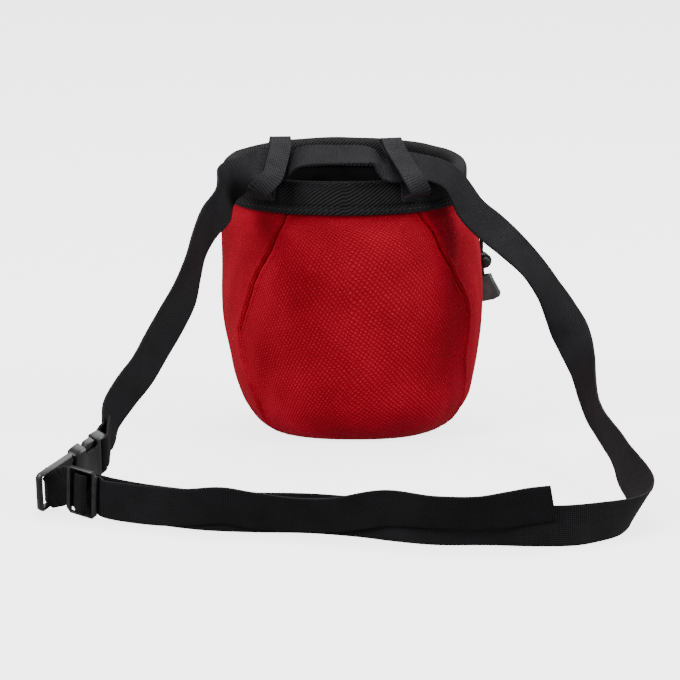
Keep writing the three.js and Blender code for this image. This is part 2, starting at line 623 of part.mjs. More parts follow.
// Both halves are made lying flat: x along the buckle from the plug's bar, y across, z through
// its thickness, and are then turned to where the buckle leans.
const HALF = BUCKLE_WIDTH / 2;
const SOCKET_END = BUCKLE_BARS + BAR / 2;
const SOCKET_MOUTH = SOCKET_END - SOCKET_LENGTH;
const WALL = 1.4;
const WEB_SLOT = BELT_WIDTH + 8 * CLEARANCE;
const PRONG = 2.6;
const CAVITY_END = BUCKLE_BARS - TURN_RADIUS - BELT_THICKNESS / 2 - CLEARANCE - WALL;
const NOTCH = { start: SOCKET_MOUTH + SOCKET_LENGTH * 0.32, end: SOCKET_MOUTH + SOCKET_LENGTH * 0.68, depth: 4.2 };

const socketOutline = [
  [SOCKET_MOUTH, -HALF * 0.9], [SOCKET_MOUTH + SOCKET_LENGTH * 0.1, -HALF * 0.96],
  [NOTCH.end, -HALF], [SOCKET_END - 1.5, -HALF * 0.96], [SOCKET_END, -HALF * 0.86],
  [SOCKET_END, HALF * 0.86], [SOCKET_END - 1.5, HALF * 0.96], [NOTCH.end, HALF],
  [SOCKET_MOUTH + SOCKET_LENGTH * 0.1, HALF * 0.96], [SOCKET_MOUTH, HALF * 0.9],
];
let socket = plate(socketOutline, BUCKLE_THICKNESS, 0.9);
const cavityLength = CAVITY_END - SOCKET_MOUTH + 1;
socket = socket.subtract(block([cavityLength, BUCKLE_WIDTH - 2 * WALL - 1.6, BUCKLE_THICKNESS - 2 * WALL],
  [CAVITY_END - cavityLength / 2, 0, 0]));
for (const side of [-1, 1]) {
  socket = socket.subtract(plate(
    softRectangle((NOTCH.start + NOTCH.end) / 2, side * HALF, NOTCH.end - NOTCH.start, 2 * NOTCH.depth, 1.4),
    BUCKLE_THICKNESS + 2));
}
const slotStart = CAVITY_END + WALL;
const slotEnd = BUCKLE_BARS - BAR / 2;
socket = socket.subtract(block([slotEnd - slotStart, WEB_SLOT, BUCKLE_THICKNESS + 2], [(slotStart + slotEnd) / 2, 0, 0]));
for (const side of [-1, 1]) {
  const cut = BUCKLE_THICKNESS - BAR_THICKNESS;
  socket = socket.subtract(block([BAR * 2, WEB_SLOT, cut],
    [slotEnd + BAR, 0, side * (BAR_THICKNESS / 2 + cut / 2)]));
}

const PLATE = BUCKLE_THICKNESS * 0.5;
const PRONG_THICKNESS = BUCKLE_THICKNESS - 2 * WALL - 2 * CLEARANCE;
const plugInner = SOCKET_MOUTH - CLEARANCE;
const plugBodyStart = TURN_RADIUS + BELT_THICKNESS + 2 * CLEARANCE;
const plugHalf = HALF * 0.97;
let plug = plate([
  [-PLUG_FRAME, -plugHalf * 0.84], [-PLUG_FRAME + 2, -plugHalf], [plugInner, -plugHalf * 0.96],
  [plugInner, plugHalf * 0.96], [-PLUG_FRAME + 2, plugHalf], [-PLUG_FRAME, plugHalf * 0.84],
], PLATE, 0.7);
const outerBar = -PLUG_FRAME + 2.1;
plug = plug.subtract(block([-BAR / 2 - outerBar, WEB_SLOT, PLATE + 2], [(outerBar - BAR / 2) / 2, 0, 0]));
plug = plug.subtract(block([plugBodyStart - BAR / 2, WEB_SLOT, PLATE + 2], [(plugBodyStart + BAR / 2) / 2, 0, 0]));
for (const side of [-1, 1]) {
  const cut = PLATE - BAR_THICKNESS;
  plug = plug.subtract(block([BAR + 1.2, WEB_SLOT, cut], [0, 0, side * (BAR_THICKNESS / 2 + cut / 2)]));
}
const prongOuter = BUCKLE_WIDTH / 2 - WALL - 0.8 - CLEARANCE;
const prongEnd = CAVITY_END - 2 * CLEARANCE;
for (const side of [-1, 1]) {
  const arm = [
    [plugInner - 1, side * (prongOuter - PRONG)], [prongEnd - 2, side * (prongOuter - PRONG)],
    [prongEnd, side * (prongOuter - PRONG * 0.6)], [NOTCH.end - 0.8, side * prongOuter],
    [NOTCH.end - 0.8, side * (HALF - 0.5)], [NOTCH.start + 2.4, side * (HALF - 0.5)],
    [NOTCH.start + 0.8, side * prongOuter], [plugInner - 1, side * prongOuter],
  ];
  plug = plug.add(plate(side > 0 ? arm : arm.reverse(), PRONG_THICKNESS));
}
plug = plug.add(block([prongEnd - plugInner - 1, PRONG, PRONG_THICKNESS], [(prongEnd + plugInner - 3) / 2, 0, 0]));

// Slider: a flat frame with a middle bar.
let slider = plate(softRectangle(0, 0, SLIDER_LENGTH, SLIDER_WIDTH, 2.4), SLIDER_THICKNESS, 0.6);
const sliderSlot = (SLIDER_LENGTH - SLIDER_MIDDLE) / 2 - SLIDER_RAIL;
for (const side of [-1, 1]) {
  slider = slider.subtract(block([sliderSlot, WEB_SLOT, SLIDER_THICKNESS + 2],
    [(side * (SLIDER_MIDDLE + sliderSlot)) / 2, 0, 0]));
}

// Drawcord

// The cord comes out under the binding at the right side and hangs beside the bag, through
// the lock and into the cord end.
const CORD_LINE = [
  [55.8, 24, 123.9], [60.2, 24.2, 121.2], [65.2, 24.6, 113], [68.2, 25.4, 104],
  [69.2, 26, 95], [69.3, 26.4, 87], [69.6, 26.6, 80], [70.6, 26.8, 73.5],
];
const cordCurve = new THREE.CatmullRomCurve3(CORD_LINE.map((p) => vec(...p)), false, "centripetal");
const cordSection = new THREE.Shape(
  Array.from({ length: 8 }, (_, i) => new THREE.Vector2(
    (CORD / 2) * Math.cos(radians(45 * i)), (CORD / 2) * Math.sin(radians(45 * i)))));
const drawcord = new THREE.ExtrudeGeometry(cordSection, { steps: 14, extrudePath: cordCurve, bevelEnabled: false });

// Cord lock: a barrel with a sprung button, both with a hole across them for the cord. Made
// with its length along z, the button's cap at the top.
const LOCK_PLACE = vec(69.35, 26.45, 84);
const lockAlong = axis(0.24, -0.97, 0);
const HOLE_HALF = CORD_HOLE / 2;
const BORE_FLOOR = 1.6;
const lathe = (profile) => manifold(loft(
  profile.map(([r, z]) => Array.from({ length: 18 }, (_, i) => vec(
    r * Math.cos(radians(20 * i)), r * Math.sin(radians(20 * i)), z))),
  "pole",
));
const barrelOuter = lathe([
  [0, -LOCK_LENGTH / 2], [LOCK_DIAMETER * 0.38, -LOCK_LENGTH / 2], [LOCK_DIAMETER * 0.48, -LOCK_LENGTH / 2 + 1.2],
  [LOCK_DIAMETER / 2, 0], [LOCK_DIAMETER * 0.48, LOCK_LENGTH / 2 - 0.8], [LOCK_DIAMETER * 0.43, LOCK_LENGTH / 2],
  [0, LOCK_LENGTH / 2],
]);
const boreLength = LOCK_LENGTH - BORE_FLOOR + 1;
const boreStart = -LOCK_LENGTH / 2 + BORE_FLOOR;
const bore = lathe([
  [0, boreStart], [LOCK_BORE / 2, boreStart], [LOCK_BORE / 2, boreStart + boreLength], [0, boreStart + boreLength],
]);
const holeAcross = (length, reach) => block([CORD_HOLE, reach, length], [0, 0, 0]);
const barrel = barrelOuter
  .subtract(bore)
  .subtract(holeAcross(CORD_HOLE, LOCK_DIAMETER + 2));

const buttonRadius = LOCK_BORE / 2 - CLEARANCE;
const buttonFoot = -LOCK_LENGTH / 2 + BORE_FLOOR + BUTTON_TRAVEL + 2 * CLEARANCE;
const buttonTop = LOCK_LENGTH / 2 + BUTTON_PROUD;
const button = lathe([
  [0, buttonFoot], [buttonRadius, buttonFoot], [buttonRadius, buttonTop - 1], [buttonRadius * 0.7, buttonTop - 0.2],
  [0, buttonTop],
]).subtract(block([CORD_HOLE, LOCK_DIAMETER, CORD_HOLE + BUTTON_TRAVEL], [0, 0, BUTTON_TRAVEL / 2]));

// Cord end: a flat bell, wider at the bottom, with a socket for the cord in its top.
const endPlace = vec(70.5, 26.8, 75.4);
const endOutline = [
  [-END_TOP / 2, 0], [-END_TOP / 2 - 0.4, -END_HEIGHT * 0.2], [-END_BOTTOM / 2, -END_HEIGHT * 0.78],
  [-END_BOTTOM * 0.44, -END_HEIGHT * 0.93], [-END_BOTTOM * 0.2, -END_HEIGHT],
  [END_BOTTOM * 0.2, -END_HEIGHT], [END_BOTTOM * 0.44, -END_HEIGHT * 0.93],
  [END_BOTTOM / 2, -END_HEIGHT * 0.78], [END_TOP / 2 + 0.4, -END_HEIGHT * 0.2], [END_TOP / 2, 0],
];
const END_HOLE = CORD + 4 * CLEARANCE;
const cordEnd = plate(endOutline, END_THICKNESS, 1.2).subtract(block([END_HOLE, END_HOLE * 2, END_HOLE], [0, 0, 0]));

// Assembly

const bag = new THREE.Group();
const finish = (color, roughness, metalness = 0) => new THREE.MeshStandardMaterial({ color, roughness, metalness });

function place(name, geometry, material, matrix) {
  const mesh = new THREE.Mesh(geometry, material);
  mesh.name = name;
  if (matrix) {
    matrix.decompose(mesh.position, mesh.quaternion, mesh.scale);
  }
  bag.add(mesh);
  return mesh;
}

// Turns a piece's own x, y, z onto three directions and moves it to a place.
function turned(x, y, z, at) {
  return new THREE.Matrix4().makeBasis(x, y, z).setPosition(at);
}

place("back_panel", backPanel, finish("#b4121f", 0.85));
place("front_panel", frontPanel, finish("#b4121f", 0.85));
place("base_panel", basePanel, finish("#8e0f19", 0.88));
place("rim_binding", rimBinding, finish("#1d1d1f", 0.75));
place("lining", lining, finish("#131314", 0.95));
place("belt_loop_left", beltLoop(LOOPS.left), finish("#26262a", 0.8));
place("belt_loop_right", beltLoop(LOOPS.right), finish("#26262a", 0.8));
place("waist_belt", waistBelt, finish("#242327", 0.8));
const buckleTurn = turned(buckleAlong, buckleAcross, buckleFace, PLUG_BAR_PLACE);
place("buckle_socket", geometryOf(socket), finish("#2c2b2d", 0.35), buckleTurn);
place("buckle_plug", geometryOf(plug), finish("#2c2b2d", 0.35), buckleTurn);
place("strap_slider", geometryOf(slider), finish("#2c2b2d", 0.35),
  turned(sliderAlong, sliderAcross, sliderFace, SLIDER_PLACE));
place("drawcord", drawcord, finish("#1b1b1d", 0.8));
const lockSide = vec(0, 0, 1).cross(lockAlong).normalize();
const lockTurn = turned(lockSide, vec(0, 0, 1), lockAlong, LOCK_PLACE);
place("cord_lock_barrel", geometryOf(barrel), finish("#232325", 0.4), lockTurn);
place("cord_lock_button", geometryOf(button), finish("#1c1c1e", 0.4), lockTurn);
place("cord_end", geometryOf(cordEnd), finish("#5b5f5d", 0.45),
  turned(axis(0.98, 0, 0.2), axis(-0.2, 0, 0.98), axis(0, -1, 0), endPlace));

export default bag;
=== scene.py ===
import math

import bpy
from mathutils import Matrix, Vector, noise


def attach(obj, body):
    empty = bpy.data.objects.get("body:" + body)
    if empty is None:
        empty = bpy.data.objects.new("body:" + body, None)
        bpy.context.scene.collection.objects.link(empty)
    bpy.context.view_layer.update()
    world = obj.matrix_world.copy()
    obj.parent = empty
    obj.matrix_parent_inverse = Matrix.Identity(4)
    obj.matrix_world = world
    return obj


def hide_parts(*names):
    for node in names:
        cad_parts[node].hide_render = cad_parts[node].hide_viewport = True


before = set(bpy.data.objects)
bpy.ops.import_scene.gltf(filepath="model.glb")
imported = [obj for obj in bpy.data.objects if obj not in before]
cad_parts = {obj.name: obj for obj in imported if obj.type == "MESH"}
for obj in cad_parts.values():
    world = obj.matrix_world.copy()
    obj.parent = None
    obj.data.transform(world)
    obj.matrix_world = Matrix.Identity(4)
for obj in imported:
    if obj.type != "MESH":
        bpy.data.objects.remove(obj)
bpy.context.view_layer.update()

MM = 0.001


# Camera and light

def hex_colour(text):
    """An sRGB hex value as the linear colour that Blender's sockets take."""
    parts = [int(text[k:k + 2], 16) / 255 for k in (1, 3, 5)]
    linear = [c / 12.92 if c <= 0.04045 else ((c + 0.055) / 1.055) ** 2.4 for c in parts]
    return (*linear, 1.0)


# The photo looks at the belt side from a little above, with a long lens.
ELEVATION = math.radians(11)
DISTANCE = 2.8
LOOK_AT = Vector((-0.0064, 0, 0.045))
SENSOR_WIDTH = 36
LENS = 278.7
LIT_SPOT = Vector((0, -0.1, 0.06))
ROOM_LIGHT = 0.36
bpy.ops.object.select_all(action="DESELECT")
bpy.ops.object.camera_add(
    location=LOOK_AT + DISTANCE * Vector((0, -math.cos(ELEVATION), math.sin(ELEVATION))),
    rotation=(math.pi / 2 - ELEVATION, 0, 0),
)
camera = bpy.context.object
camera.data.sensor_width = SENSOR_WIDTH
camera.data.lens = LENS
bpy.context.scene.camera = camera


def soft_light(name, place, size, watts):
    """A square studio softbox that faces the bag."""
    bpy.ops.object.light_add(type="AREA", location=place)
    light = bpy.context.object
    light.name = name
    light.data.size = size
    light.data.energy = watts
    aim = LIT_SPOT - Vector(place)
    light.rotation_euler = aim.to_track_quat("-Z", "Y").to_euler()


soft_light("softbox_left", (-1.5, -1.1, 1.3), 1.0, 30)
soft_light("softbox_right", (1.6, -0.6, 1.1), 1.0, 24)
soft_light("softbox_above", (0.1, 0.5, 1.7), 1.2, 20)

world = bpy.data.worlds.new("studio")
bpy.context.scene.world = world
world.use_nodes = True
world.node_tree.nodes["Background"].inputs["Color"].default_value = hex_colour("#ffffff")
world.node_tree.nodes["Background"].inputs["Strength"].default_value = ROOM_LIGHT


# Materials

def put(tree, kind, sockets=None, **settings):
    """Adds a node. sockets gives inputs by name or number, each a value or another node's output."""
    added = tree.nodes.new(kind)
    for key, value in settings.items():
        setattr(added, key, value)
    for key, value in (sockets or {}).items():
        socket = added.inputs[key]
        if isinstance(value, bpy.types.NodeSocket):
            tree.links.new(value, socket)
        else:
            socket.default_value = value
    return added


def new_material(name, roughness, **sockets):
    """A material with its own Principled shader, roughness and other fixed sockets set."""
    material = bpy.data.materials.new(name)
    material.use_nodes = True
    shader = material.node_tree.nodes["Principled BSDF"]
    shader.inputs["Roughness"].default_value = roughness
    for key, value in sockets.items():
        shader.inputs[key.replace("_", " ")].default_value = value
    return material, material.node_tree, shader


def stripes(tree, flat, pitch, turn, wobble=0.0):
    """Soft stripes on a flat pattern in metres, one each pitch, turned from across its length."""
    turned = put(tree, "ShaderNodeMapping", {"Vector": flat, "Rotation": (0, 0, turn)})
    # A wave node repeats after pi/10 at scale 1.
    return put(tree, "ShaderNodeTexWave", {
        "Vector": turned.outputs[0],
        "Scale": math.pi / 10 / pitch,
        "Distortion": wobble,
        "Detail": 1.0,
        "Detail Scale": 0.6,
    }).outputs["Fac"]


def red_polyester():
    """Woven polyester with raised cells: slanting rows of small raised dots with a painted highlight on
    each, and painted shade in the hollows between them.
    """
    material, tree, shader = new_material("red_textured_polyester", 0.8, Specular_IOR_Level=0.14)
    cloth = put(tree, "ShaderNodeUVMap", uv_map="cloth").outputs[0]
    # The weave wanders by a third of a millimetre, so that its rows aren't ruled lines.
    wander = put(tree, "ShaderNodeTexNoise", {
        "Vector": cloth, "Scale": 260.0, "Detail": 2.0}).outputs["Color"]
    centred = put(tree, "ShaderNodeVectorMath", {
        0: wander, 1: (0.5, 0.5, 0.5)}, operation="SUBTRACT").outputs[0]
    step = put(tree, "ShaderNodeVectorMath", {
        0: centred, "Scale": 0.9 * MM}, operation="SCALE").outputs[0]
    flat = put(tree, "ShaderNodeVectorMath", {0: cloth, 1: step}, operation="ADD").outputs[0]
    # Cells about 1.5 mm apart, so that they still show at two pixels a millimetre.
    rising = stripes(tree, flat, 1.45 * MM, math.radians(32), 0.4)
    falling = stripes(tree, flat, 1.6 * MM, math.radians(-48), 0.4)
    cells = put(tree, "ShaderNodeMath", {0: rising, 1: falling}, operation="MULTIPLY").outputs[0]
    broad = put(tree, "ShaderNodeTexNoise", {"Vector": cloth, "Scale": 26.0, "Detail": 3.0}).outputs["Fac"]
    fine = put(tree, "ShaderNodeTexNoise", {"Vector": cloth, "Scale": 1100.0, "Detail": 2.0}).outputs["Fac"]
    base = put(tree, "ShaderNodeValToRGB", {0: broad})
    base.color_ramp.elements[0].position = 0.34
    base.color_ramp.elements[0].color = hex_colour("#b30c22")
    base.color_ramp.elements[1].position = 0.66
    base.color_ramp.elements[1].color = hex_colour("#d81430")
    # Painted shade: the hollows between the cells are painted dark red, #5a0310, unevenly by a fine noise.
    gap_shade = put(tree, "ShaderNodeMapRange", {0: cells, 1: 0.0, 2: 0.22, 3: 0.75, 4: 0.0}).outputs[0]
    uneven = put(tree, "ShaderNodeMath", {0: gap_shade, 1: fine}, operation="MULTIPLY").outputs[0]
    shaded = put(tree, "ShaderNodeMix", {
        0: uneven, 6: base.outputs[0], 7: hex_colour("#5a0310")}, data_type="RGBA").outputs[2]
    # Painted highlight: the cells' crests are painted pale red, #ff4a62, unevenly by a fine noise.
    grain = put(tree, "ShaderNodeMath", {0: cells, 1: fine}, operation="MULTIPLY").outputs[0]
    bead_highlight = put(tree, "ShaderNodeMapRange", {0: grain, 1: 0.38, 2: 0.62, 3: 0.0, 4: 0.6}).outputs[0]
    lit = put(tree, "ShaderNodeMix", {
        0: bead_highlight, 6: shaded, 7: hex_colour("#ff4a62")}, data_type="RGBA").outputs[2]
    tree.links.new(lit, shader.inputs["Base Color"])
    height = put(tree, "ShaderNodeMath", {0: fine, 1: 0.5, 2: cells}, operation="MULTIPLY_ADD").outputs[0]
    bump = put(tree, "ShaderNodeBump", {"Strength": 0.8, "Distance": 0.4 * MM, "Height": height})
    tree.links.new(bump.outputs[0], shader.inputs["Normal"])
    return material


def ribbed_binding():
    """Black ribbed tape: steep twill ribs, catching grey light along their crests."""
    material, tree, shader = new_material("black_ribbed_tape", 0.62, Specular_IOR_Level=0.28)
    flat = put(tree, "ShaderNodeUVMap", uv_map="cloth").outputs[0]
    # Ribs 1.5 mm apart, turned 40 degrees from the rim's run, with fine threads over them.
    ribs = stripes(tree, flat, 1.5 * MM, math.radians(50), 0.5)
    threads = stripes(tree, flat, 0.9 * MM, math.radians(-20), 0.5)
    both = put(tree, "ShaderNodeMath", {0: ribs, 1: threads}, operation="MULTIPLY").outputs[0]
    height = put(tree, "ShaderNodeMath", {0: both, 1: 0.35, 2: ribs}, operation="MULTIPLY_ADD").outputs[0]
    tone = put(tree, "ShaderNodeValToRGB", {0: height})
    tone.color_ramp.elements[0].position = 0.15
    tone.color_ramp.elements[0].color = hex_colour("#060607")
    tone.color_ramp.elements[1].position = 0.95
    tone.color_ramp.elements[1].color = hex_colour("#29282c")
    tree.links.new(tone.outputs[0], shader.inputs["Base Color"])
    bump = put(tree, "ShaderNodeBump", {"Strength": 0.9, "Distance": 0.5 * MM, "Height": height})
    tree.links.new(bump.outputs[0], shader.inputs["Normal"])
    return material


def webbing(name, pitch, dark, light):
    """Black polyester webbing: cross ribs at the given pitch, split by finer lengthwise lines, their crests
    painted lighter as a painted highlight.
    """
    material, tree, shader = new_material(name, 0.68, Specular_IOR_Level=0.22)
    flat = put(tree, "ShaderNodeUVMap", uv_map="cloth").outputs[0]
    ribs = stripes(tree, flat, pitch, 0.0, 0.3)
    lines = stripes(tree, flat, 0.95 * MM, math.radians(90), 0.3)
    woven = put(tree, "ShaderNodeMath", {0: ribs, 1: lines}, operation="MULTIPLY").outputs[0]
    worn = put(tree, "ShaderNodeTexNoise", {"Vector": flat, "Scale": 70.0, "Detail": 4.0}).outputs["Fac"]
    both = put(tree, "ShaderNodeMath", {0: worn, 1: 0.7, 2: woven}, operation="MULTIPLY_ADD").outputs[0]
    # The ramp paints the weave's crests lighter, a painted highlight, over a random worn tone.
    tone = put(tree, "ShaderNodeValToRGB", {0: both})
    tone.color_ramp.elements[0].position = 0.25
    tone.color_ramp.elements[0].color = hex_colour(dark)
    tone.color_ramp.elements[1].position = 1.0
    tone.color_ramp.elements[1].color = hex_colour(light)
    tree.links.new(tone.outputs[0], shader.inputs["Base Color"])
    bump = put(tree, "ShaderNodeBump", {"Strength": 0.6, "Distance": 0.3 * MM, "Height": woven})
    tree.links.new(bump.outputs[0], shader.inputs["Normal"])
    return material


def soft_lining():
    """Black brushed lining, nearly without shine, a little cloudy."""
    material, tree, shader = new_material("black_brushed_lining", 0.95, Specular_IOR_Level=0.08)
    flat = put(tree, "ShaderNodeUVMap", uv_map="cloth").outputs[0]
    cloudy = put(tree, "ShaderNodeTexNoise", {"Vector": flat, "Scale": 40.0, "Detail": 5.0}).outputs["Fac"]
    tone = put(tree, "ShaderNodeValToRGB", {0: cloudy})
    tone.color_ramp.elements[0].position = 0.3
    tone.color_ramp.elements[0].color = hex_colour("#0c0b0b")
    tone.color_ramp.elements[1].position = 0.8
    tone.color_ramp.elements[1].color = hex_colour("#232122")
    tree.links.new(tone.outputs[0], shader.inputs["Base Color"])
    fuzz = put(tree, "ShaderNodeTexNoise", {"Vector": flat, "Scale": 1500.0, "Detail": 2.0}).outputs["Fac"]
    bump = put(tree, "ShaderNodeBump", {"Strength": 0.4, "Distance": 0.2 * MM, "Height": fuzz})
    tree.links.new(bump.outputs[0], shader.inputs["Normal"])
    return material


def moulded_plastic(name, colour, scuffed, roughness, grain):
    """Injection-moulded plastic with a faint grain and slightly lighter scuffs."""
    material, tree, shader = new_material(name, roughness, IOR=1.5)
    place = put(tree, "ShaderNodeTexCoord").outputs["Object"]
    scuffs = put(tree, "ShaderNodeTexNoise", {
        "Vector": place, "Scale": 180.0, "Detail": 6.0}).outputs["Fac"]
    tone = put(tree, "ShaderNodeValToRGB", {0: scuffs})
    tone.color_ramp.elements[0].position = 0.45
    tone.color_ramp.elements[0].color = hex_colour(colour)
    tone.color_ramp.elements[1].position = 0.8
    tone.color_ramp.elements[1].color = hex_colour(scuffed)
    tree.links.new(tone.outputs[0], shader.inputs["Base Color"])
    uneven = put(tree, "ShaderNodeMapRange", {
        0: scuffs, 3: roughness - 0.08, 4: roughness + 0.12}).outputs[0]
    tree.links.new(uneven, shader.inputs["Roughness"])
    grains = put(tree, "ShaderNodeTexNoise", {
        "Vector": place, "Scale": 2200.0, "Detail": 2.0}).outputs["Fac"]
    bump = put(tree, "ShaderNodeBump", {"Strength": grain, "Distance": 0.08 * MM, "Height": grains})
    tree.links.new(bump.outputs[0], shader.inputs["Normal"])
    return material


def braided_cord():
    """Black braided cord, with the criss-cross of its strands and a painted highlight on their crests."""
    material, tree, shader = new_material("black_braided_cord", 0.7, Specular_IOR_Level=0.25)
    place = put(tree, "ShaderNodeTexCoord").outputs["Object"]
    scale = put(tree, "ShaderNodeMapping", {"Vector": place, "Rotation": (0.6, 0.5, 0)})
    strands = put(tree, "ShaderNodeTexWave", {
        "Vector": scale.outputs[0], "Scale": math.pi / 10 / (0.8 * MM), "Distortion": 1.0}).outputs["Fac"]
    # Painted highlight: the strands' crests are painted lighter grey.
    tone = put(tree, "ShaderNodeValToRGB", {0: strands})
    tone.color_ramp.elements[0].color = hex_colour("#0c0c0d")
    tone.color_ramp.elements[1].color = hex_colour("#343438")
    tree.links.new(tone.outputs[0], shader.inputs["Base Color"])
    bump = put(tree, "ShaderNodeBump", {"Strength": 0.6, "Distance": 0.15 * MM, "Height": strands})
    tree.links.new(bump.outputs[0], shader.inputs["Normal"])
    return material


def sewing_thread():
    """Black twisted sewing thread, with a painted highlight along the crest of its twist."""
    material, tree, shader = new_material("black_thread", 0.55)
    place = put(tree, "ShaderNodeTexCoord").outputs["Object"]
    twist = put(tree, "ShaderNodeTexWave", {
        "Vector": place, "Scale": math.pi / 10 / (0.5 * MM), "Distortion": 0.5}).outputs["Fac"]
    # Painted highlight: the twist's crest is painted lighter grey.
    tone = put(tree, "ShaderNodeValToRGB", {0: twist})
    tone.color_ramp.elements[0].color = hex_colour("#0e0e0f")
    tone.color_ramp.elements[1].color = hex_colour("#38383b")
    tree.links.new(tone.outputs[0], shader.inputs["Base Color"])
    return material


def studio_paper():
    """Seamless white paper that the bag stands on, with a hardly visible mottle."""
    material, tree, shader = new_material(
        "white_studio_paper", 0.9, Specular_IOR_Level=0.1,
        Emission_Color=(1, 1, 1, 1), Emission_Strength=3.0)
    place = put(tree, "ShaderNodeTexCoord").outputs["Object"]
    mottle = put(tree, "ShaderNodeTexNoise", {"Vector": place, "Scale": 6.0, "Detail": 2.0}).outputs["Fac"]
    tone = put(tree, "ShaderNodeValToRGB", {0: mottle})
    tone.color_ramp.elements[0].color = hex_colour("#f6f6f6")
    tone.color_ramp.elements[1].color = hex_colour("#fdfdfd")
    tree.links.new(tone.outputs[0], shader.inputs["Base Color"])
    return material


RED = red_polyester()
BINDING = ribbed_binding()
# The lighter colour of each webbing is the painted highlight on its weave's crests.
BELT_WEB = webbing("black_belt_webbing", 1.05 * MM, "#050506", "#26262a")
LOOP_WEB = webbing("black_loop_webbing", 1.35 * MM, "#040405", "#3a3a3e")
LINING = soft_lining()
BUCKLE = moulded_plastic("black_acetal", "#262527", "#3a383a", 0.26, 0.15)
LOCK = moulded_plastic("black_nylon", "#1b1b1d", "#2c2c2e", 0.38, 0.3)
GREY_END = moulded_plastic("grey_soft_plastic", "#4c504f", "#666b69", 0.34, 0.2)
CORD_BRAID = braided_cord()
THREAD_BLACK = sewing_thread()
PAPER = studio_paper()


# Ways of making a piece

SAME_POINT = 0.00002


def put_material(piece, material):
    """Gives a piece its only material."""
    piece.data.materials.clear()
    piece.data.materials.append(material)


def cloth_grid(name, columns, rows, place, flat):
    """A grid shaped by place(u, v), with a cloth map in metres from flat(u, v); u and v run 0 to 1."""
    bpy.ops.object.select_all(action="DESELECT")
    bpy.ops.mesh.primitive_grid_add(x_subdivisions=columns, y_subdivisions=rows, size=2)
    piece = bpy.context.object
    piece.name = name
    mesh = piece.data
    shares = [((v.co.x + 1) / 2, (v.co.y + 1) / 2) for v in mesh.vertices]
    while mesh.uv_layers:
        mesh.uv_layers.remove(mesh.uv_layers[0])
    layer = mesh.uv_layers.new(name="cloth")
    for corner in mesh.loops:
        layer.data[corner.index].uv = flat(*shares[corner.vertex_index])
    for vertex, (u, v) in zip(mesh.vertices, shares):
        vertex.co = Vector(place(u, v)) * MM
    return piece


def edit_all(piece, *steps):
    """Runs edit-mode steps on one piece with everything in it selected."""
    bpy.ops.object.select_all(action="DESELECT")
    piece.select_set(True)
    bpy.context.view_layer.objects.active = piece
    bpy.ops.object.mode_set(mode="EDIT")
    bpy.ops.mesh.select_all(action="SELECT")
    for step in steps:
        step()
    bpy.ops.object.mode_set(mode="OBJECT")


def join_seam():
    """Joins the grid's edges where they meet."""
    bpy.ops.mesh.remove_doubles(threshold=SAME_POINT)


def close_ends():
    """Joins a strap's long edges and caps its two ends."""
    bpy.ops.mesh.remove_doubles(threshold=SAME_POINT)
    bpy.ops.mesh.select_all(action="DESELECT")
    bpy.ops.mesh.select_non_manifold()
    bpy.ops.mesh.fill_holes(sides=0)


def face_outwards():
    """Turns every face of a closed piece outwards."""
    bpy.ops.mesh.select_all(action="SELECT")
    bpy.ops.mesh.normals_make_consistent(inside=False)


def apply_modifier(piece, kind, **settings):
    """Adds a modifier with its settings and applies it."""
    modifier = piece.modifiers.new(kind.lower(), kind)
    for key, value in settings.items():
        setattr(modifier, key, value)
    bpy.ops.object.select_all(action="DESELECT")
    piece.select_set(True)
    bpy.context.view_layer.objects.active = piece
    bpy.ops.object.modifier_apply(modifier=modifier.name)


def smooth(piece, degrees):
    """Shades a piece smooth across every edge that is flatter than this."""
    bpy.ops.object.select_all(action="DESELECT")
    piece.select_set(True)
    bpy.context.view_layer.objects.active = piece
    bpy.ops.object.shade_smooth_by_angle(angle=math.radians(degrees))


# Smooth lines through stations

def between(points, at):
    """Point of a smooth line through points, at a share of their count, spaced as three.js spaces it."""
    last = len(points) - 1
    k = min(int(at), last - 1)
    t = at - k
    p1, p2 = points[k], points[k + 1]
    p0 = points[k - 1] if k > 0 else 2 * p1 - p2
    p3 = points[k + 2] if k + 2 <= last else 2 * p2 - p1
    d0, d1, d2 = (max((b - a).length ** 0.5, 1e-4) for a, b in ((p0, p1), (p1, p2), (p2, p3)))
    out1 = ((p1 - p0) / d0 - (p2 - p0) / (d0 + d1) + (p2 - p1) / d1) * d1
    out2 = ((p2 - p1) / d1 - (p3 - p1) / (d1 + d2) + (p3 - p2) / d2) * d1
    squared = 3 * (p2 - p1) - 2 * out1 - out2
    cubed = 2 * (p1 - p2) + out1 + out2
    return p1 + out1 * t + squared * t ** 2 + cubed * t ** 3


def bell(x):
    """1 at 0, and falling away softly on both sides."""
    return math.exp(-x * x)


def ease(x):
    """A smooth step from 0 to 1."""
    x = min(max(x, 0.0), 1.0)
    return x * x * (3 - 2 * x)


# Bag body

# All sizes from here on are in mm.
BODY_WIDTH = 138
BODY_DEPTH = 125
BODY_HEIGHT = 134
CLOTH = 2
RIM_WIDTH = 129.2
RIM_DEPTH = 123
RIM_HEIGHT = 142.5
RIM_TILT = 3
RIM_SHIFT = -4
BINDING_HEIGHT = 17

# rise, half width, half depth, shift, left seam and right seam, from the base up
BODY_ROWS = [
    (0.004, 0.635, 0.73, 0.014, -52, 62), (0.022, 0.704, 0.806, 0.017, -54, 66),
    (0.06, 0.79, 0.874, 0.023, -55, 68), (0.127, 0.872, 0.934, 0.026, -54, 68),
    (0.216, 0.923, 0.966, 0.017, -56, 64), (0.32, 0.959, 0.986, 0.012, -59, 58),
    (0.425, 0.991, 0.997, 0.003, -57, 59), (0.53, 1.003, 1, 0, -50, 58),
    (0.65, 0.997, 0.997, -0.003, -44, 50), (0.765, 0.988, 0.989, -0.017, -34, 41),
    (0.85, 0.965, 0.979, -0.035, -29, 38), (0.9, 0.928, 0.966, -0.049, -26, 35),
    (0.93, 0.909, 0.954, -0.058, -25, 34), (1, 0.909, 0.954, -0.058, -25, 34),
]
ROW_POINTS = [(Vector(row[:3]), Vector(row[3:])) for row in BODY_ROWS]

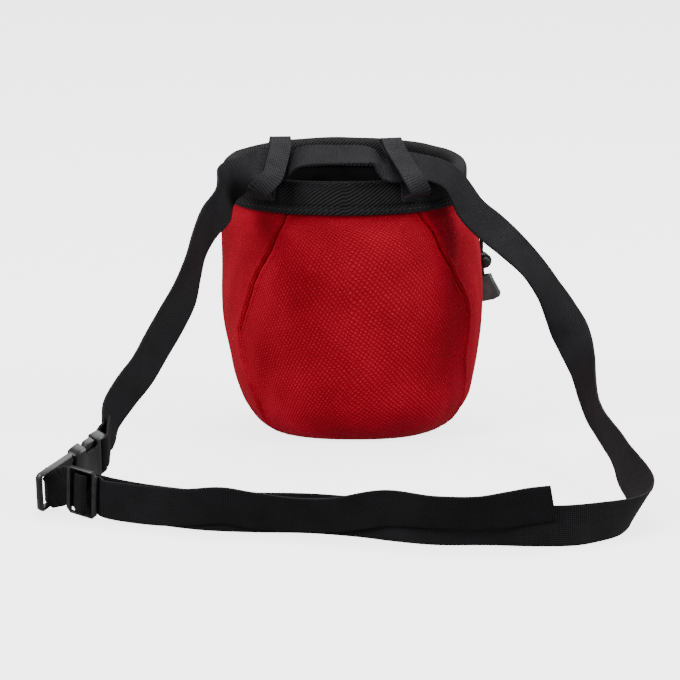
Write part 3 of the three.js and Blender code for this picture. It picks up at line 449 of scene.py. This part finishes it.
# The base's oval lies just inside the panels' lowest row.
BASE_INSET = 1.2
BASE_HALF_WIDTH = BODY_WIDTH / 2 * BODY_ROWS[0][1] - BASE_INSET
BASE_HALF_DEPTH = BODY_DEPTH / 2 * BODY_ROWS[0][2] - BASE_INSET
BASE_SHIFT = BODY_WIDTH / 2 * BODY_ROWS[0][3]

# Soft hollows and bulges: degrees round, rise, spread round, spread in rise, depth in mm
DENTS = [
    (-24, 0.5, 13, 0.2, -1.6), (18, 0.42, 16, 0.16, 1.2), (62, 0.72, 12, 0.1, -1.6),
    (-66, 0.76, 14, 0.1, -1.0), (40, 0.16, 14, 0.08, 1.2), (170, 0.55, 22, 0.2, -1.4),
]


def body_row(level):
    """Rise, half width, half depth, shift and seam places at a level from 0, the base, to 1, the rim."""
    at = level * (len(BODY_ROWS) - 1)
    shape = between([a for a, b in ROW_POINTS], at)
    rest = between([b for a, b in ROW_POINTS], at)
    return (*shape, *rest)


def oval(turn, half_width, half_depth):
    """A ring's point, by degrees round from the middle of the back; its back is a little squarer."""
    across, along = math.sin(math.radians(turn)), math.cos(math.radians(turn))
    power = 2 / (2.4 if along > 0 else 2.0)
    return (
        half_width * math.copysign(abs(across) ** power, across),
        -half_depth * math.copysign(abs(along) ** power, along),
    )


ROUND_STEPS = 1440
ROUND_RUN = [0.0]
for k in range(ROUND_STEPS):
    one, two = (Vector(oval(360 * j / ROUND_STEPS, BODY_WIDTH / 2, BODY_DEPTH / 2)) for j in (k, k + 1))
    ROUND_RUN.append(ROUND_RUN[-1] + (two - one).length)


def run_round(turn):
    """Length in mm round the widest part of the body from the middle of the back."""
    laps, rest = divmod(turn / 360, 1)
    at = rest * ROUND_STEPS
    k = min(int(at), ROUND_STEPS - 1)
    return laps * ROUND_RUN[-1] + ROUND_RUN[k] + (ROUND_RUN[k + 1] - ROUND_RUN[k]) * (at - k)


def tilt_at(y, rise):
    """How far the bag's slope to the back lifts or lowers a point."""
    return RIM_TILT * y * rise ** 3 / (RIM_DEPTH / 2)


def body_point(level, turn, depth, lift):
    """A point of the body, this deep under its surface and lifted this far out of it."""
    rise, wide, deep, shift, left, right = body_row(level)
    below, above = body_row(max(level - 0.01, 0)), body_row(min(level + 0.01, 1))
    out = (above[1] - below[1]) * BODY_WIDTH / 2
    up = (above[0] - below[0]) * BODY_HEIGHT
    slope = math.hypot(out, up)
    dent = lift
    for turn0, rise0, spread, spread_up, size in DENTS:
        off = (turn - turn0 + 540) % 360 - 180
        dent += size * math.exp(-((off / spread) ** 2) - ((rise - rise0) / spread_up) ** 2)
    grown = dent - depth * up / slope
    x, y = oval(turn, BODY_WIDTH / 2 * wide + grown, BODY_DEPTH / 2 * deep + grown)
    x += BODY_WIDTH / 2 * shift
    return x, y, BODY_HEIGHT * rise + depth * out / slope + tilt_at(y, rise)


def slack(turn, level, seed):
    """The small unevenness of unfilled cloth, in mm."""
    a = math.radians(turn)
    p = Vector((math.cos(a) * 2.2, math.sin(a) * 2.2, level * 3.4 + seed))
    fine = Vector((math.cos(a) * 6.0, math.sin(a) * 6.0, level * 5.0 + seed))
    return 0.55 * noise.noise(p) + 0.22 * noise.noise(fine)


# Creases that run in from a seam or up from the base: degrees round, level, length in
# degrees and in level, slant in degrees per level, depth in mm
CREASES = [
    (-44, 0.3, 5, 0.1, 60, -0.9), (-38, 0.55, 4, 0.09, -50, -0.7), (46, 0.42, 5, 0.12, 70, -1.0),
    (52, 0.62, 4, 0.08, 80, -0.9), (30, 0.84, 4, 0.07, -40, -0.8), (-20, 0.86, 4, 0.07, 40, -0.6),
    (70, 0.3, 5, 0.12, -50, -1.1), (20, 0.14, 6, 0.06, 120, -0.6), (-10, 0.12, 6, 0.06, -120, -0.6),
    (100, 0.35, 6, 0.14, 60, -1.1), (150, 0.3, 7, 0.12, -70, -1.2), (205, 0.4, 7, 0.14, 60, -1.1),
    (250, 0.3, 6, 0.12, -60, -1.1), (130, 0.7, 6, 0.1, 60, -0.9), (225, 0.72, 6, 0.1, -60, -0.9),
]


def crease(turn, level):
    """How far all creases together move the cloth here, in mm."""
    depth = 0.0
    for turn0, level0, width, height, slant, size in CREASES:
        off = (turn - turn0 - slant * (level - level0) + 540) % 360 - 180
        depth += size * bell(off / width) * bell((level - level0) / height)
    return depth


SEAM_WIDTH = 2.2
SEAM_GAP = 0.25          # degrees between a seam's middle and each panel
SEAM_TUCK = 0.9          # how far the panels turn in at a seam
SEAM_RIDGE = 0.5         # the rise of the cloth beside it
PUCKER = 0.16
PUCKER_PITCH = 0.9
CROWDING = 0.06          # how far the grid's columns draw together near the seams
HEM_START = 0.9          # level where the cloth goes under the binding
PANEL_ROWS = 150
BACK_COLUMNS = 170
FRONT_COLUMNS = 300


def panel(name, start_turn, end_turn, columns):
    """A red panel from one seam to the other, turned in and puckered along both."""
    def shape(u, v):
        level = v
        rise, wide, deep, shift, left, right = body_row(level)
        start, end = start_turn(left, right), end_turn(left, right)
        # More columns near the seams, so that the turned-in edge has its own shape.
        u -= CROWDING * math.sin(2 * math.pi * u)
        turn = start + SEAM_GAP + (end - start - 2 * SEAM_GAP) * u
        edge = min(turn - start, end - turn) * math.radians(1) * BODY_WIDTH / 2 * wide
        tuck = -SEAM_TUCK * bell(edge / SEAM_WIDTH * 1.6)
        ridge = SEAM_RIDGE * bell((edge - SEAM_WIDTH * 1.3) / 1.3)
        pucker = PUCKER * math.sin(level * BODY_HEIGHT / PUCKER_PITCH) * bell(edge / 5.0)
        hem = ease((level - HEM_START) / 0.05)
        loose = (slack(turn, level, 3.0) + crease(turn, level)) * (1 - hem) * ease(level / 0.12)
        return body_point(level, turn, 0.0, (tuck + ridge + pucker) * (1 - hem) + loose)

    def flat(u, v):
        rise, wide, deep, shift, left, right = body_row(v)
        start, end = start_turn(left, right), end_turn(left, right)
        turn = start + (end - start) * u
        return run_round(turn) * (0.5 + 0.5 * wide) * MM, v * BODY_HEIGHT * 1.05 * MM

    piece = cloth_grid(name, columns, PANEL_ROWS, shape, flat)
    apply_modifier(piece, "SOLIDIFY", thickness=CLOTH * 0.8 * MM, offset=-1)
    smooth(piece, 60)
    put_material(piece, RED)
    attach(piece, "root")
    return piece


back = panel(
    "back_panel_cloth", lambda left, right: left, lambda left, right: right, BACK_COLUMNS)
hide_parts("back_panel")
front = panel(
    "front_panel_cloth", lambda left, right: right, lambda left, right: 360 + left, FRONT_COLUMNS)
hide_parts("front_panel")


def base_point(u, v):
    """The round bottom, from its edge to its middle, a little raised where it is sewn in."""
    turn = 360 * u
    share = 1 - v
    x, y = oval(turn, BASE_HALF_WIDTH, BASE_HALF_DEPTH)
    edge = (1 - share) * 40
    height = 0.15 + 0.5 * bell(edge / 3.0)
    return x * share + BASE_SHIFT, y * share, height


def base_flat(u, v):
    """The bottom is cut flat, so its cloth map is its own plan."""
    x, y, z = base_point(u, v)
    return x * MM, y * MM


base = cloth_grid("base_cloth", 96, 20, base_point, base_flat)
edit_all(base, join_seam)
apply_modifier(base, "SOLIDIFY", thickness=1.4 * MM, offset=1)
edit_all(base, face_outwards)
smooth(base, 50)
put_material(base, RED)
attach(base, "root")
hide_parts("base_panel")


# Lining

LINING_DEPTH = 3.4
LINING_WALL = 1.6
LINING_FLOOR = 0.15      # share of the grid's rows that makes the round bottom
LINING_FLOOR_SIZE = 0.93
LINING_START = 0.08      # the body level where its wall starts
FOLDS_ROUND = 9
FOLD_DEPTH = 1.2


def lining_point(u, v):
    """The lining's inner face: a round bottom, then a loosely folded wall up to the rim."""
    turn = 360 * u
    a = math.radians(turn)
    if v < LINING_FLOOR:
        share = max(v / LINING_FLOOR, 0.001)
        x, y = oval(turn, BASE_HALF_WIDTH, BASE_HALF_DEPTH)
        return (
            x * share * LINING_FLOOR_SIZE + BASE_SHIFT,
            y * share * LINING_FLOOR_SIZE,
            LINING_DEPTH + LINING_WALL,
        )
    level = LINING_START + (1 - LINING_START) * (v - LINING_FLOOR) / (1 - LINING_FLOOR)
    fold = 0.5 * math.sin(a * FOLDS_ROUND + 1.2 * math.sin(level * 5))
    fold += 0.5 * noise.noise(Vector((math.cos(a) * 5, math.sin(a) * 5, level * 2)))
    fade = ease((1.0 - level) / 0.12) * ease((level - LINING_START) / 0.2)
    return body_point(level, turn, LINING_DEPTH + LINING_WALL, min(FOLD_DEPTH * fold * fade - 0.2, 0.4))


def lining_flat(u, v):
    """The lining's cloth map: 0.39 m round and 0.19 m from its middle to the rim."""
    return u * 0.39, v * 0.19


lining = cloth_grid("lining_cloth", 240, 110, lining_point, lining_flat)
edit_all(lining, join_seam)
apply_modifier(lining, "SOLIDIFY", thickness=0.9 * MM, offset=1)
smooth(lining, 60)
put_material(lining, LINING)
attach(lining, "root")
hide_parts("lining")


# Rim binding

def rim_point(turn, depth, height):
    """A point of the binding, by degrees round, depth in and height above its lower edge."""
    x, y = oval(turn, RIM_WIDTH / 2 - depth, RIM_DEPTH / 2 - depth)
    return x + RIM_SHIFT, y, RIM_HEIGHT - BINDING_HEIGHT + height + tilt_at(y, 1)


# The binding's cross-section: depth in from the outer face, and height above its lower edge.
# The lower 5 mm is a narrower edge tape, a little proud of the ribbed tape above it.
RIM_OUTLINE = [
    (1.4, 0.1), (0.5, -0.1), (-0.1, 0.3), (-0.35, 1.2), (-0.4, 2.6), (-0.3, 3.8), (0.15, 4.5),
    (0.3, 4.9), (0.0, 5.6), (-0.1, 7.5), (-0.1, 10), (-0.15, 12.2), (0.0, 13.6), (0.6, 15.0),
    (1.7, 16.2), (3.2, 16.9), (4.6, 17.0), (6.2, 16.5), (7.5, 15.4), (8.2, 13.8), (8.3, 12.2),
    (8.1, 10.0), (8.0, 8.0), (8.0, 5.0), (8.1, 3.0), (8.0, 2.2), (7.4, 2.0), (7.1, 2.3),
    (7.1, 8.0), (7.1, 12.6), (1.5, 12.6), (1.5, 6.0),
]
RIM_LINE = [Vector((d, h)) for d, h in RIM_OUTLINE + RIM_OUTLINE[:1]]
RIM_RUN = [0.0]
for one, two in zip(RIM_LINE, RIM_LINE[1:]):
    RIM_RUN.append(RIM_RUN[-1] + (two - one).length)


def on_outline(share):
    """Depth, height and run along the binding's cross-section."""
    at = share * (len(RIM_LINE) - 1)
    k = min(int(at), len(RIM_LINE) - 2)
    spot = between(RIM_LINE, at)
    return spot.x, spot.y, RIM_RUN[k] + (RIM_RUN[k + 1] - RIM_RUN[k]) * (at - k)


def rim_shape(u, v):
    """The binding's surface, with the slight waves of tape that is sewn round a curve."""
    turn = 360 * u
    depth, height, run = on_outline(v)
    a = math.radians(turn)
    wave = 0.35 * noise.noise(Vector((math.cos(a) * 3, math.sin(a) * 3, height * 0.06)))
    sag = 0.3 * noise.noise(Vector((math.cos(a) * 4, math.sin(a) * 4, 9.0)))
    return rim_point(turn, depth + (wave if height > 3 else wave * 0.5), height + sag)


def rim_flat(u, v):
    """The binding's cloth map: 0.4 m round, and its run along the cross-section."""
    return u * 0.4, on_outline(v)[2] * MM


rim = cloth_grid("rim_binding_tape", 420, 96, rim_shape, rim_flat)
edit_all(rim, join_seam, face_outwards)
smooth(rim, 60)
put_material(rim, BINDING)
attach(rim, "root")
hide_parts("rim_binding")


# Stitches

def stitch_row(name, spots, length, thick, material):
    """One small rounded stitch at each (middle, along, out), all in one piece."""
    bpy.ops.object.select_all(action="DESELECT")
    bpy.ops.mesh.primitive_uv_sphere_add(segments=6, ring_count=5, radius=0.5)
    piece = bpy.context.object
    piece.name = name
    shape = [Vector((v.co.x * length, v.co.y * thick * 1.3, v.co.z * thick)) for v in piece.data.vertices]
    faces = [tuple(p.vertices) for p in piece.data.polygons]
    corners, sides = [], []
    for middle, along, out in spots:
        start = len(corners)
        along = along.normalized()
        side = out.cross(along).normalized()
        up = along.cross(side)
        for p in shape:
            bend = -0.25 * thick * (2 * p.x / length) ** 2
            corners.append((middle + along * p.x + side * p.y + up * (p.z + bend)) * MM)
        sides.extend(tuple(start + k for k in face) for face in faces)
    mesh = bpy.data.meshes.new(name)
    mesh.from_pydata(corners, [], sides)
    mesh.update()
    piece.data = mesh
    for polygon in mesh.polygons:
        polygon.use_smooth = True
    put_material(piece, material)
    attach(piece, "root")
    return piece


RIM_STITCHES = 132
RIM_STITCH_HEIGHT = 2.5
RIM_STITCH_LENGTH = 2.3
RIM_THREAD = 0.55
PROUD = 0.5              # how far the stitches lie outside the binding's face


def round_rim(height, count, depth):
    """Stitch places all round the binding."""
    spots = []
    for k in range(count):
        turn = 360 * k / count
        here = Vector(rim_point(turn, depth, height))
        ahead = Vector(rim_point(turn + 1, depth, height))
        inward = Vector(rim_point(turn, depth + 1, height))
        spots.append((here, ahead - here, here - inward))
    return spots


stitch_row(
    "rim_trim_stitches", round_rim(RIM_STITCH_HEIGHT, RIM_STITCHES, -PROUD),
    RIM_STITCH_LENGTH, RIM_THREAD, THREAD_BLACK)


# Straps

# A webbing's cross-section: share of the half width, and share of the half thickness.
WEB_OUTLINE = [
    (-1, 0), (-0.985, 0.8), (-0.93, 1.15), (-0.8, 0.95), (-0.4, 1), (0, 1), (0.4, 1), (0.8, 0.95),
    (0.93, 1.15), (0.985, 0.8), (1, 0), (0.985, -0.8), (0.93, -1.15), (0.8, -0.95), (0.4, -1),
    (0, -1), (-0.4, -1), (-0.8, -0.95), (-0.93, -1.15), (-0.985, -0.8), (-1, 0),
]


def strap(name, stations, width, thickness, step, material):
    """Webbing through stations (middle, across), each a point in mm and a direction."""
    middles = [Vector(m) for m, w in stations]
    acrosses = [Vector(w) for m, w in stations]
    spots, leans, ats = [], [], []
    for k in range(len(stations) - 1):
        count = max(1, round((middles[k + 1] - middles[k]).length / step))
        for i in range(count):
            at = k + i / count
            ats.append(at)
    ats.append(len(stations) - 1)
    for at in ats:
        spots.append(between(middles, at))
        leans.append(between(acrosses, at).normalized())
    runs = [0.0]
    for one, two in zip(spots, spots[1:]):
        runs.append(runs[-1] + (two - one).length)
    sections = []
    for k, spot in enumerate(spots):
        along = (spots[min(k + 1, len(spots) - 1)] - spots[max(k - 1, 0)]).normalized()
        across = (leans[k] - along * leans[k].dot(along)).normalized()
        sections.append((spot, across, along.cross(across)))

    def shape(u, v):
        spot, across, face = sections[round(u * (len(spots) - 1))]
        side, skin = WEB_OUTLINE[round(v * (len(WEB_OUTLINE) - 1))]
        return spot + across * (side * width / 2) + face * (skin * thickness / 2)

    def flat(u, v):
        side = WEB_OUTLINE[round(v * (len(WEB_OUTLINE) - 1))][0]
        return runs[round(u * (len(spots) - 1))] * MM, side * width / 2 * MM

    piece = cloth_grid(name, len(spots) - 1, len(WEB_OUTLINE) - 1, shape, flat)
    edit_all(piece, close_ends, face_outwards)
    smooth(piece, 50)
    put_material(piece, material)
    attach(piece, "root")
    return piece, sections


# Belt loops

LOOP_WIDTH = 11
LOOP_THICKNESS = 1.2
LOOP_HEIGHT = 30
LOOP_REACH = 16
LOOP_ROWS = [
    (-0.19, 0), (-0.27, 0.07), (-0.62, 0.13), (-0.84, 0.2), (-0.86, 0.32), (-0.72, 0.46), (-0.35, 0.61),
    (0.33, 0.84), (0.62, 0.945), (0.85, 1), (0.97, 0.975), (0.98, 0.92), (0.8, 0.85), (0.5, 0.69),
    (0.2, 0.54), (0, 0.455), (-0.16, 0.37), (-0.14, 0.25), (-0.09, 0.12), (-0.09, 0),
]
IN_LOOP_REACH = -0.027
IN_LOOP_RISE = 0.575
IN_LOOP_LEAN = math.radians(48)
# Degrees round from the middle of the back, twist of the top, and how far the belt pulls it over
LEFT_LOOP = (-34, 43, 8)
RIGHT_LOOP = (27, -16, -6)
PULL_START = 0.2


def loop_frame(loop, rise):
    """The loop's own middle at a rise, its direction towards the bag, and its direction sideways."""
    sewn = Vector(rim_point(loop[0], 0, BINDING_HEIGHT * 0.42))
    straight = Vector((RIM_SHIFT - sewn.x, -sewn.y, 0)).normalized()
    pivot = sewn + straight * IN_LOOP_REACH * LOOP_REACH + Vector((0, 0, rise * LOOP_HEIGHT))
    pivot.x += loop[2] * ease((rise - PULL_START) / (1 - PULL_START))
    twist = math.radians(loop[1]) * ease(rise / 0.5)
    inward = Matrix.Rotation(twist, 3, "Z") @ straight
    return pivot, inward, inward.cross(Vector((0, 0, 1)))


LOOP_STEP = 1.0
TACK_ROWS = 3
TACK_STITCHES = 7
TACK_STITCH_LENGTH = 1.5
TACK_THREAD = 0.45


def belt_loop(name, loop):
    """One loop of webbing, from its sewn end round the belt and back down inside the rim."""
    stations = []
    for reach, rise in LOOP_ROWS:
        pivot, inward, sideways = loop_frame(loop, rise)
        stations.append((pivot + inward * (reach - IN_LOOP_REACH) * LOOP_REACH, sideways))
    return strap(
        name + "_webbing", stations, LOOP_WIDTH, LOOP_THICKNESS, LOOP_STEP, LOOP_WEB)


for name, loop in (("belt_loop_left", LEFT_LOOP), ("belt_loop_right", RIGHT_LOOP)):
    piece, sections = belt_loop(name, loop)
    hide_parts(name)
    # The bar tack that holds both ends of the loop to the binding.
    spots = []
    for row in range(TACK_ROWS):
        middle, across, face = sections[2 + row]
        for k in range(TACK_STITCHES):
            share = (k - 3) / 3 * 0.42
            spot = middle + across * share * LOOP_WIDTH - face * (LOOP_THICKNESS * 0.6)
            spots.append((spot, across, -face))
    stitch_row(name + "_tack", spots, TACK_STITCH_LENGTH, TACK_THREAD, THREAD_BLACK)


# Waist belt

BELT_WIDTH = 20
BELT_THICKNESS = 1.3
BELT_STEP = 2.0
BELT_SPREAD = 300
BELT_REACH = 290
BUCKLE_WIDTH = 25.5
BUCKLE_THICKNESS = 7
BUCKLE_BARS = 35.2
SLIDER_LENGTH = 18
SLIDER_WIDTH = 25
SLIDER_THICKNESS = 2.2
BAR = 2.6
BAR_THICKNESS = 2.2
CLEARANCE = 0.3

# x and y as shares of the belt's spread and reach, lift of the lower edge as a share of the
# rim's height, and the lean of the upper edge to +X and +Y
LEFT_STRETCH = [
    (-0.4077, 0.623, 0.165, -0.18, -0.48), (-0.4017, 0.6, 0.228, -0.31, -0.44),
    (-0.3807, 0.565, 0.292, -0.39, -0.4), (-0.3527, 0.525, 0.359, -0.44, -0.41),
    (-0.331, 0.49, 0.434, -0.5, -0.43), (-0.307, 0.4565, 0.516, -0.54, -0.45),
    (-0.2843, 0.4245, 0.601, -0.5, -0.54), (-0.2707, 0.389, 0.681, -0.34, -0.61),
    (-0.2607, 0.347, 0.748, -0.27, -0.52), (-0.2453, 0.302, 0.803, -0.31, -0.37),
    (-0.223, 0.2565, 0.847, -0.33, -0.22), (-0.213, 0.19, 0.908, -0.34, 0.03),
]
MIDDLE_STRETCH = [
    (-0.0887, 0.194, 1.042, 0.08, 0.92), (-0.024, 0.203, 1.056, -0.05, 0.94),
    (0.034, 0.199, 1.048, -0.2, 0.92),
]
RIGHT_STRETCH = [
    (0.17, 0.164, 0.94, 0.15, 0.8), (0.209, 0.172, 0.837, 0.61, 0.7),
    (0.2423, 0.1775, 0.77, 0.67, 0.6), (0.2763, 0.192, 0.711, 0.57, 0.7),
    (0.3097, 0.1945, 0.644, 0.48, 0.79), (0.339, 0.195, 0.56, 0.56, 0.76),
    (0.364, 0.1972, 0.463, 0.81, 0.47), (0.3843, 0.212, 0.363, 0.84, -0.2),
    (0.3977, 0.248, 0.279, 0.58, -0.43), (0.404, 0.291, 0.205, 0.4, -0.45),
    (0.4103, 0.338, 0.147, 0.22, -0.33), (0.4183, 0.39, 0.114, 0.05, -0.22),
    (0.4273, 0.443, 0.092, 0, -0.16), (0.4367, 0.497, 0.078, 0.03, -0.12),
    (0.4447, 0.551, 0.065, 0.14, -0.11), (0.4507, 0.606, 0.052, 0.27, -0.07),
    (0.4587, 0.66, 0.044, 0.41, -0.03), (0.4683, 0.715, 0.035, 0.51, -0.02),
    (0.4737, 0.77, 0.025, 0.55, -0.09), (0.4693, 0.824, 0.012, 0.52, -0.16),
    (0.4567, 0.877, 0.004, 0.41, -0.17), (0.4343, 0.9245, 0.002, 0.25, -0.15),
    (0.398, 0.962, 0.002, 0.08, -0.07), (0.3537, 0.989, 0.002, -0.02, 0.07),
    (0.298, 0.996, 0.002, 0, 0.05), (0.2133, 0.989, 0.002, 0, 0), (0.13, 0.987, 0.002, 0, 0),
    (0.0633, 0.96, 0.002, 0, 0), (0.0123, 0.931, 0.002, 0, 0), (-0.0713, 0.9015, 0.002, 0, 0),
    (-0.1653, 0.894, 0.002, 0, 0), (-0.2433, 0.879, 0.002, 0, 0), (-0.321, 0.838, 0.002, 0, -0.03),
    (-0.369, 0.81, 0.006, 0.02, -0.08),
]
TAIL = [
    (-0.409, 0.803, 0.01, 0.02, -0.2), (-0.364, 0.8265, 0.003, 0, -0.1), (-0.3207, 0.85, 0.004, 0, -0.1),
    (-0.2643, 0.8845, 0.019, 0, -0.3), (-0.2107, 0.904, 0.034, 0, -0.29), (-0.165, 0.9105, 0.019, 0, -0.25),
    (-0.086, 0.923, 0.014, 0, -0.42), (-0.0263, 0.94, 0.022, 0, -0.42), (0.0523, 0.975, 0.059, 0, -0.35),
    (0.1303, 1.013, 0.067, 0, -0.48), (0.1977, 1.0135, 0.063, 0, -0.45), (0.247, 1.01, 0.069, -0.03, -0.32),
    (0.2807, 1.008, 0.079, -0.05, -0.28), (0.319, 1.01, 0.093, -0.08, -0.35),
]


def station(row):
    """The belt's middle and the direction of its upper edge at one row of a stretch."""
    x, y, lift, tip_x, tip_y = row
    upright = math.sqrt(max(0, 1 - tip_x ** 2 - tip_y ** 2))
    middle = Vector((x * BELT_SPREAD, -y * BELT_REACH, lift * RIM_HEIGHT + BELT_WIDTH / 2 * upright))
    return middle, Vector((tip_x, tip_y, upright))


def in_loop(loop):
    """The belt's stations inside a loop, leaning over with it."""
    pivot, inward, sideways = loop_frame(loop, IN_LOOP_RISE)
    up = (loop_frame(loop, IN_LOOP_RISE + 0.1)[0] - pivot).normalized()
    lean = inward * math.sin(IN_LOOP_LEAN) + up * math.cos(IN_LOOP_LEAN)
    return [(pivot + sideways * share * LOOP_WIDTH, lean) for share in (-0.95, 0, 0.62)]


PLUG_BAR = Vector((-0.4967 * BELT_SPREAD, -0.7345 * BELT_REACH, BUCKLE_WIDTH * 0.525))
BUCKLE_ACROSS = Vector((0, -0.515, 0.857)).normalized()
BUCKLE_ALONG = Vector((0.69, 0.62, 0.373)).normalized()
BUCKLE_FACE = BUCKLE_ALONG.cross(BUCKLE_ACROSS).normalized()
SLIDER_MIDDLE = Vector((-0.4433 * BELT_SPREAD, -0.786 * BELT_REACH, SLIDER_WIDTH * 0.53))
SLIDER_ALONG = Vector((0.82, -0.54, -0.12)).normalized()
SLIDER_FACE = SLIDER_ALONG.cross(Vector((0.17, -0.27, 0.95))).normalized()
SLIDER_ACROSS = SLIDER_FACE.cross(SLIDER_ALONG)
TURN_RADIUS = math.hypot(BAR, BAR_THICKNESS) / 2 + 1.5 * CLEARANCE + BELT_THICKNESS / 2
SKIM = SLIDER_THICKNESS / 2 + 1.5 * CLEARANCE + BELT_THICKNESS / 2


def buckle_at(along, face):
    """A point of the buckle, this far from the plug's bar and this far out of its middle plane."""
    return PLUG_BAR + BUCKLE_ALONG * along + BUCKLE_FACE * face


def round_bar(middle, start, over):
    """Stations half way round one of the buckle's bars."""
    spots = []
    for turn in range(0, 181, 30):
        a = math.radians(turn)
        spot = middle + start * TURN_RADIUS * math.cos(a) + over * TURN_RADIUS * math.sin(a)
        spots.append((spot, BUCKLE_ACROSS))
    return spots


BEND = math.radians(35)
SOCKET_BAR = buckle_at(BUCKLE_BARS, 0)
LEAVING = BUCKLE_ALONG * math.cos(BEND) - BUCKLE_FACE * math.sin(BEND)
SKIN = LEAVING.cross(BUCKLE_ACROSS).normalized()
SEWN = 15
LEG = BUCKLE_THICKNESS * 0.5
BEHIND = -1 - (BELT_THICKNESS + 2 * CLEARANCE) / SKIM
THREAD = [
    (-0.62, -1.15), (-0.46, -1), (-0.34, -0.93), (-0.21, 0), (-0.08, 0.95), (0.08, 0.95), (0.21, 0),
    (0.34, -0.93), (0.46, -1),
]


def from_socket(out, side):
    """A station of the belt's fixed end, this far from the socket's bar."""
    return SOCKET_BAR + LEAVING * out + SKIN * side, BUCKLE_ACROSS


def in_slider(along, face):
    """A station by the slider, as shares of its length and of the belt's distance from it."""
    return SLIDER_MIDDLE + SLIDER_ALONG * along * SLIDER_LENGTH + SLIDER_FACE * face * SKIM, SLIDER_ACROSS


belt_stations = [
    from_socket(SEWN, BELT_THICKNESS), from_socket(SEWN * 0.5, 0.7 * TURN_RADIUS),
    *round_bar(SOCKET_BAR, SKIN, -LEAVING),
    from_socket(SEWN * 0.4, -0.8 * TURN_RADIUS),
    *map(station, LEFT_STRETCH), *in_loop(LEFT_LOOP), *map(station, MIDDLE_STRETCH),
    *in_loop(RIGHT_LOOP), *map(station, RIGHT_STRETCH),
    in_slider(0.6, BEHIND), in_slider(-0.45, BEHIND),
    (buckle_at(TURN_RADIUS, LEG), BUCKLE_ACROSS),
    *round_bar(PLUG_BAR, BUCKLE_ALONG, -BUCKLE_FACE),
    (buckle_at(-TURN_RADIUS - 2 * CLEARANCE, LEG * 0.5), BUCKLE_ACROSS),
    (buckle_at(-TURN_RADIUS - 2 * CLEARANCE, LEG) - BUCKLE_ACROSS * CLEARANCE, BUCKLE_ACROSS),
    *(in_slider(along, face) for along, face in THREAD),
    *map(station, TAIL),
]
belt, belt_sections = strap(
    "waist_belt_webbing", belt_stations, BELT_WIDTH, BELT_THICKNESS, BELT_STEP,
    BELT_WEB)
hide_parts("waist_belt")


# Hard pieces

def moulded(node, bevel, material):
    """A smooth-edged copy of a hard CAD piece."""
    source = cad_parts[node]
    piece = bpy.data.objects.new(node + "_moulding", source.data.copy())
    bpy.context.collection.objects.link(piece)
    piece.matrix_world = source.matrix_world
    bpy.ops.object.select_all(action="DESELECT")
    piece.select_set(True)
    bpy.context.view_layer.objects.active = piece
    bpy.ops.object.transform_apply(location=True, rotation=True, scale=True)
    edit_all(piece, join_seam, lambda: bpy.ops.mesh.dissolve_limited(angle_limit=math.radians(1)))
    if bevel:
        apply_modifier(
            piece, "BEVEL", width=bevel * MM, segments=2, limit_method="ANGLE",
            angle_limit=math.radians(28), use_clamp_overlap=True)
    smooth(piece, 35)
    put_material(piece, material)
    return piece


for node in ("buckle_socket", "buckle_plug", "strap_slider"):
    piece = moulded(node, 0.3, BUCKLE)
    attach(piece, "root")
    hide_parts(node)
barrel = moulded("cord_lock_barrel", 0.25, LOCK)
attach(barrel, "root")
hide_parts("cord_lock_barrel")
button = moulded("cord_lock_button", 0.2, LOCK)
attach(button, "lock_button")
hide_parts("cord_lock_button")
cord_end = moulded("cord_end", 0.5, GREY_END)
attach(cord_end, "root")
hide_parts("cord_end")


# Drawcord

# In metres. The photo shows all of it, from under the binding to the grey end.
CORD_DIAMETER = 0.002
CORD_STEPS = 28
CORD_LINE = [
    Vector(p) for p in (
        (55.8, 24, 123.9), (60.2, 24.2, 121.2), (65.2, 24.6, 113), (68.2, 25.4, 104),
        (69.2, 26, 95), (69.3, 26.4, 87), (69.6, 26.6, 80), (70.6, 26.8, 73.5),
    )
]
cord_points = [
    between(CORD_LINE, k * (len(CORD_LINE) - 1) / CORD_STEPS) * MM for k in range(CORD_STEPS + 1)
]
bpy.ops.object.select_all(action="DESELECT")
bpy.ops.curve.primitive_bezier_curve_add()
cord = bpy.context.object
cord.name = "drawcord_braid"
cord.data.splines.clear()
spline = cord.data.splines.new("POLY")
spline.points.add(len(cord_points) - 1)
for point, place in zip(spline.points, cord_points):
    point.co = (*place, 1)
cord.data.bevel_depth = CORD_DIAMETER / 2
cord.data.bevel_resolution = 4
cord.data.use_fill_caps = True
put_material(cord, CORD_BRAID)
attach(cord, "root")
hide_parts("drawcord")
tuple(cord_points[0])


# Floor

bpy.ops.object.select_all(action="DESELECT")
bpy.ops.mesh.primitive_plane_add(size=30)
floor = bpy.context.object
floor.name = "studio_floor"
# The bright paper doesn't light the bag from below.
floor.visible_diffuse = False
floor.visible_glossy = False
floor.data.materials.append(PAPER)
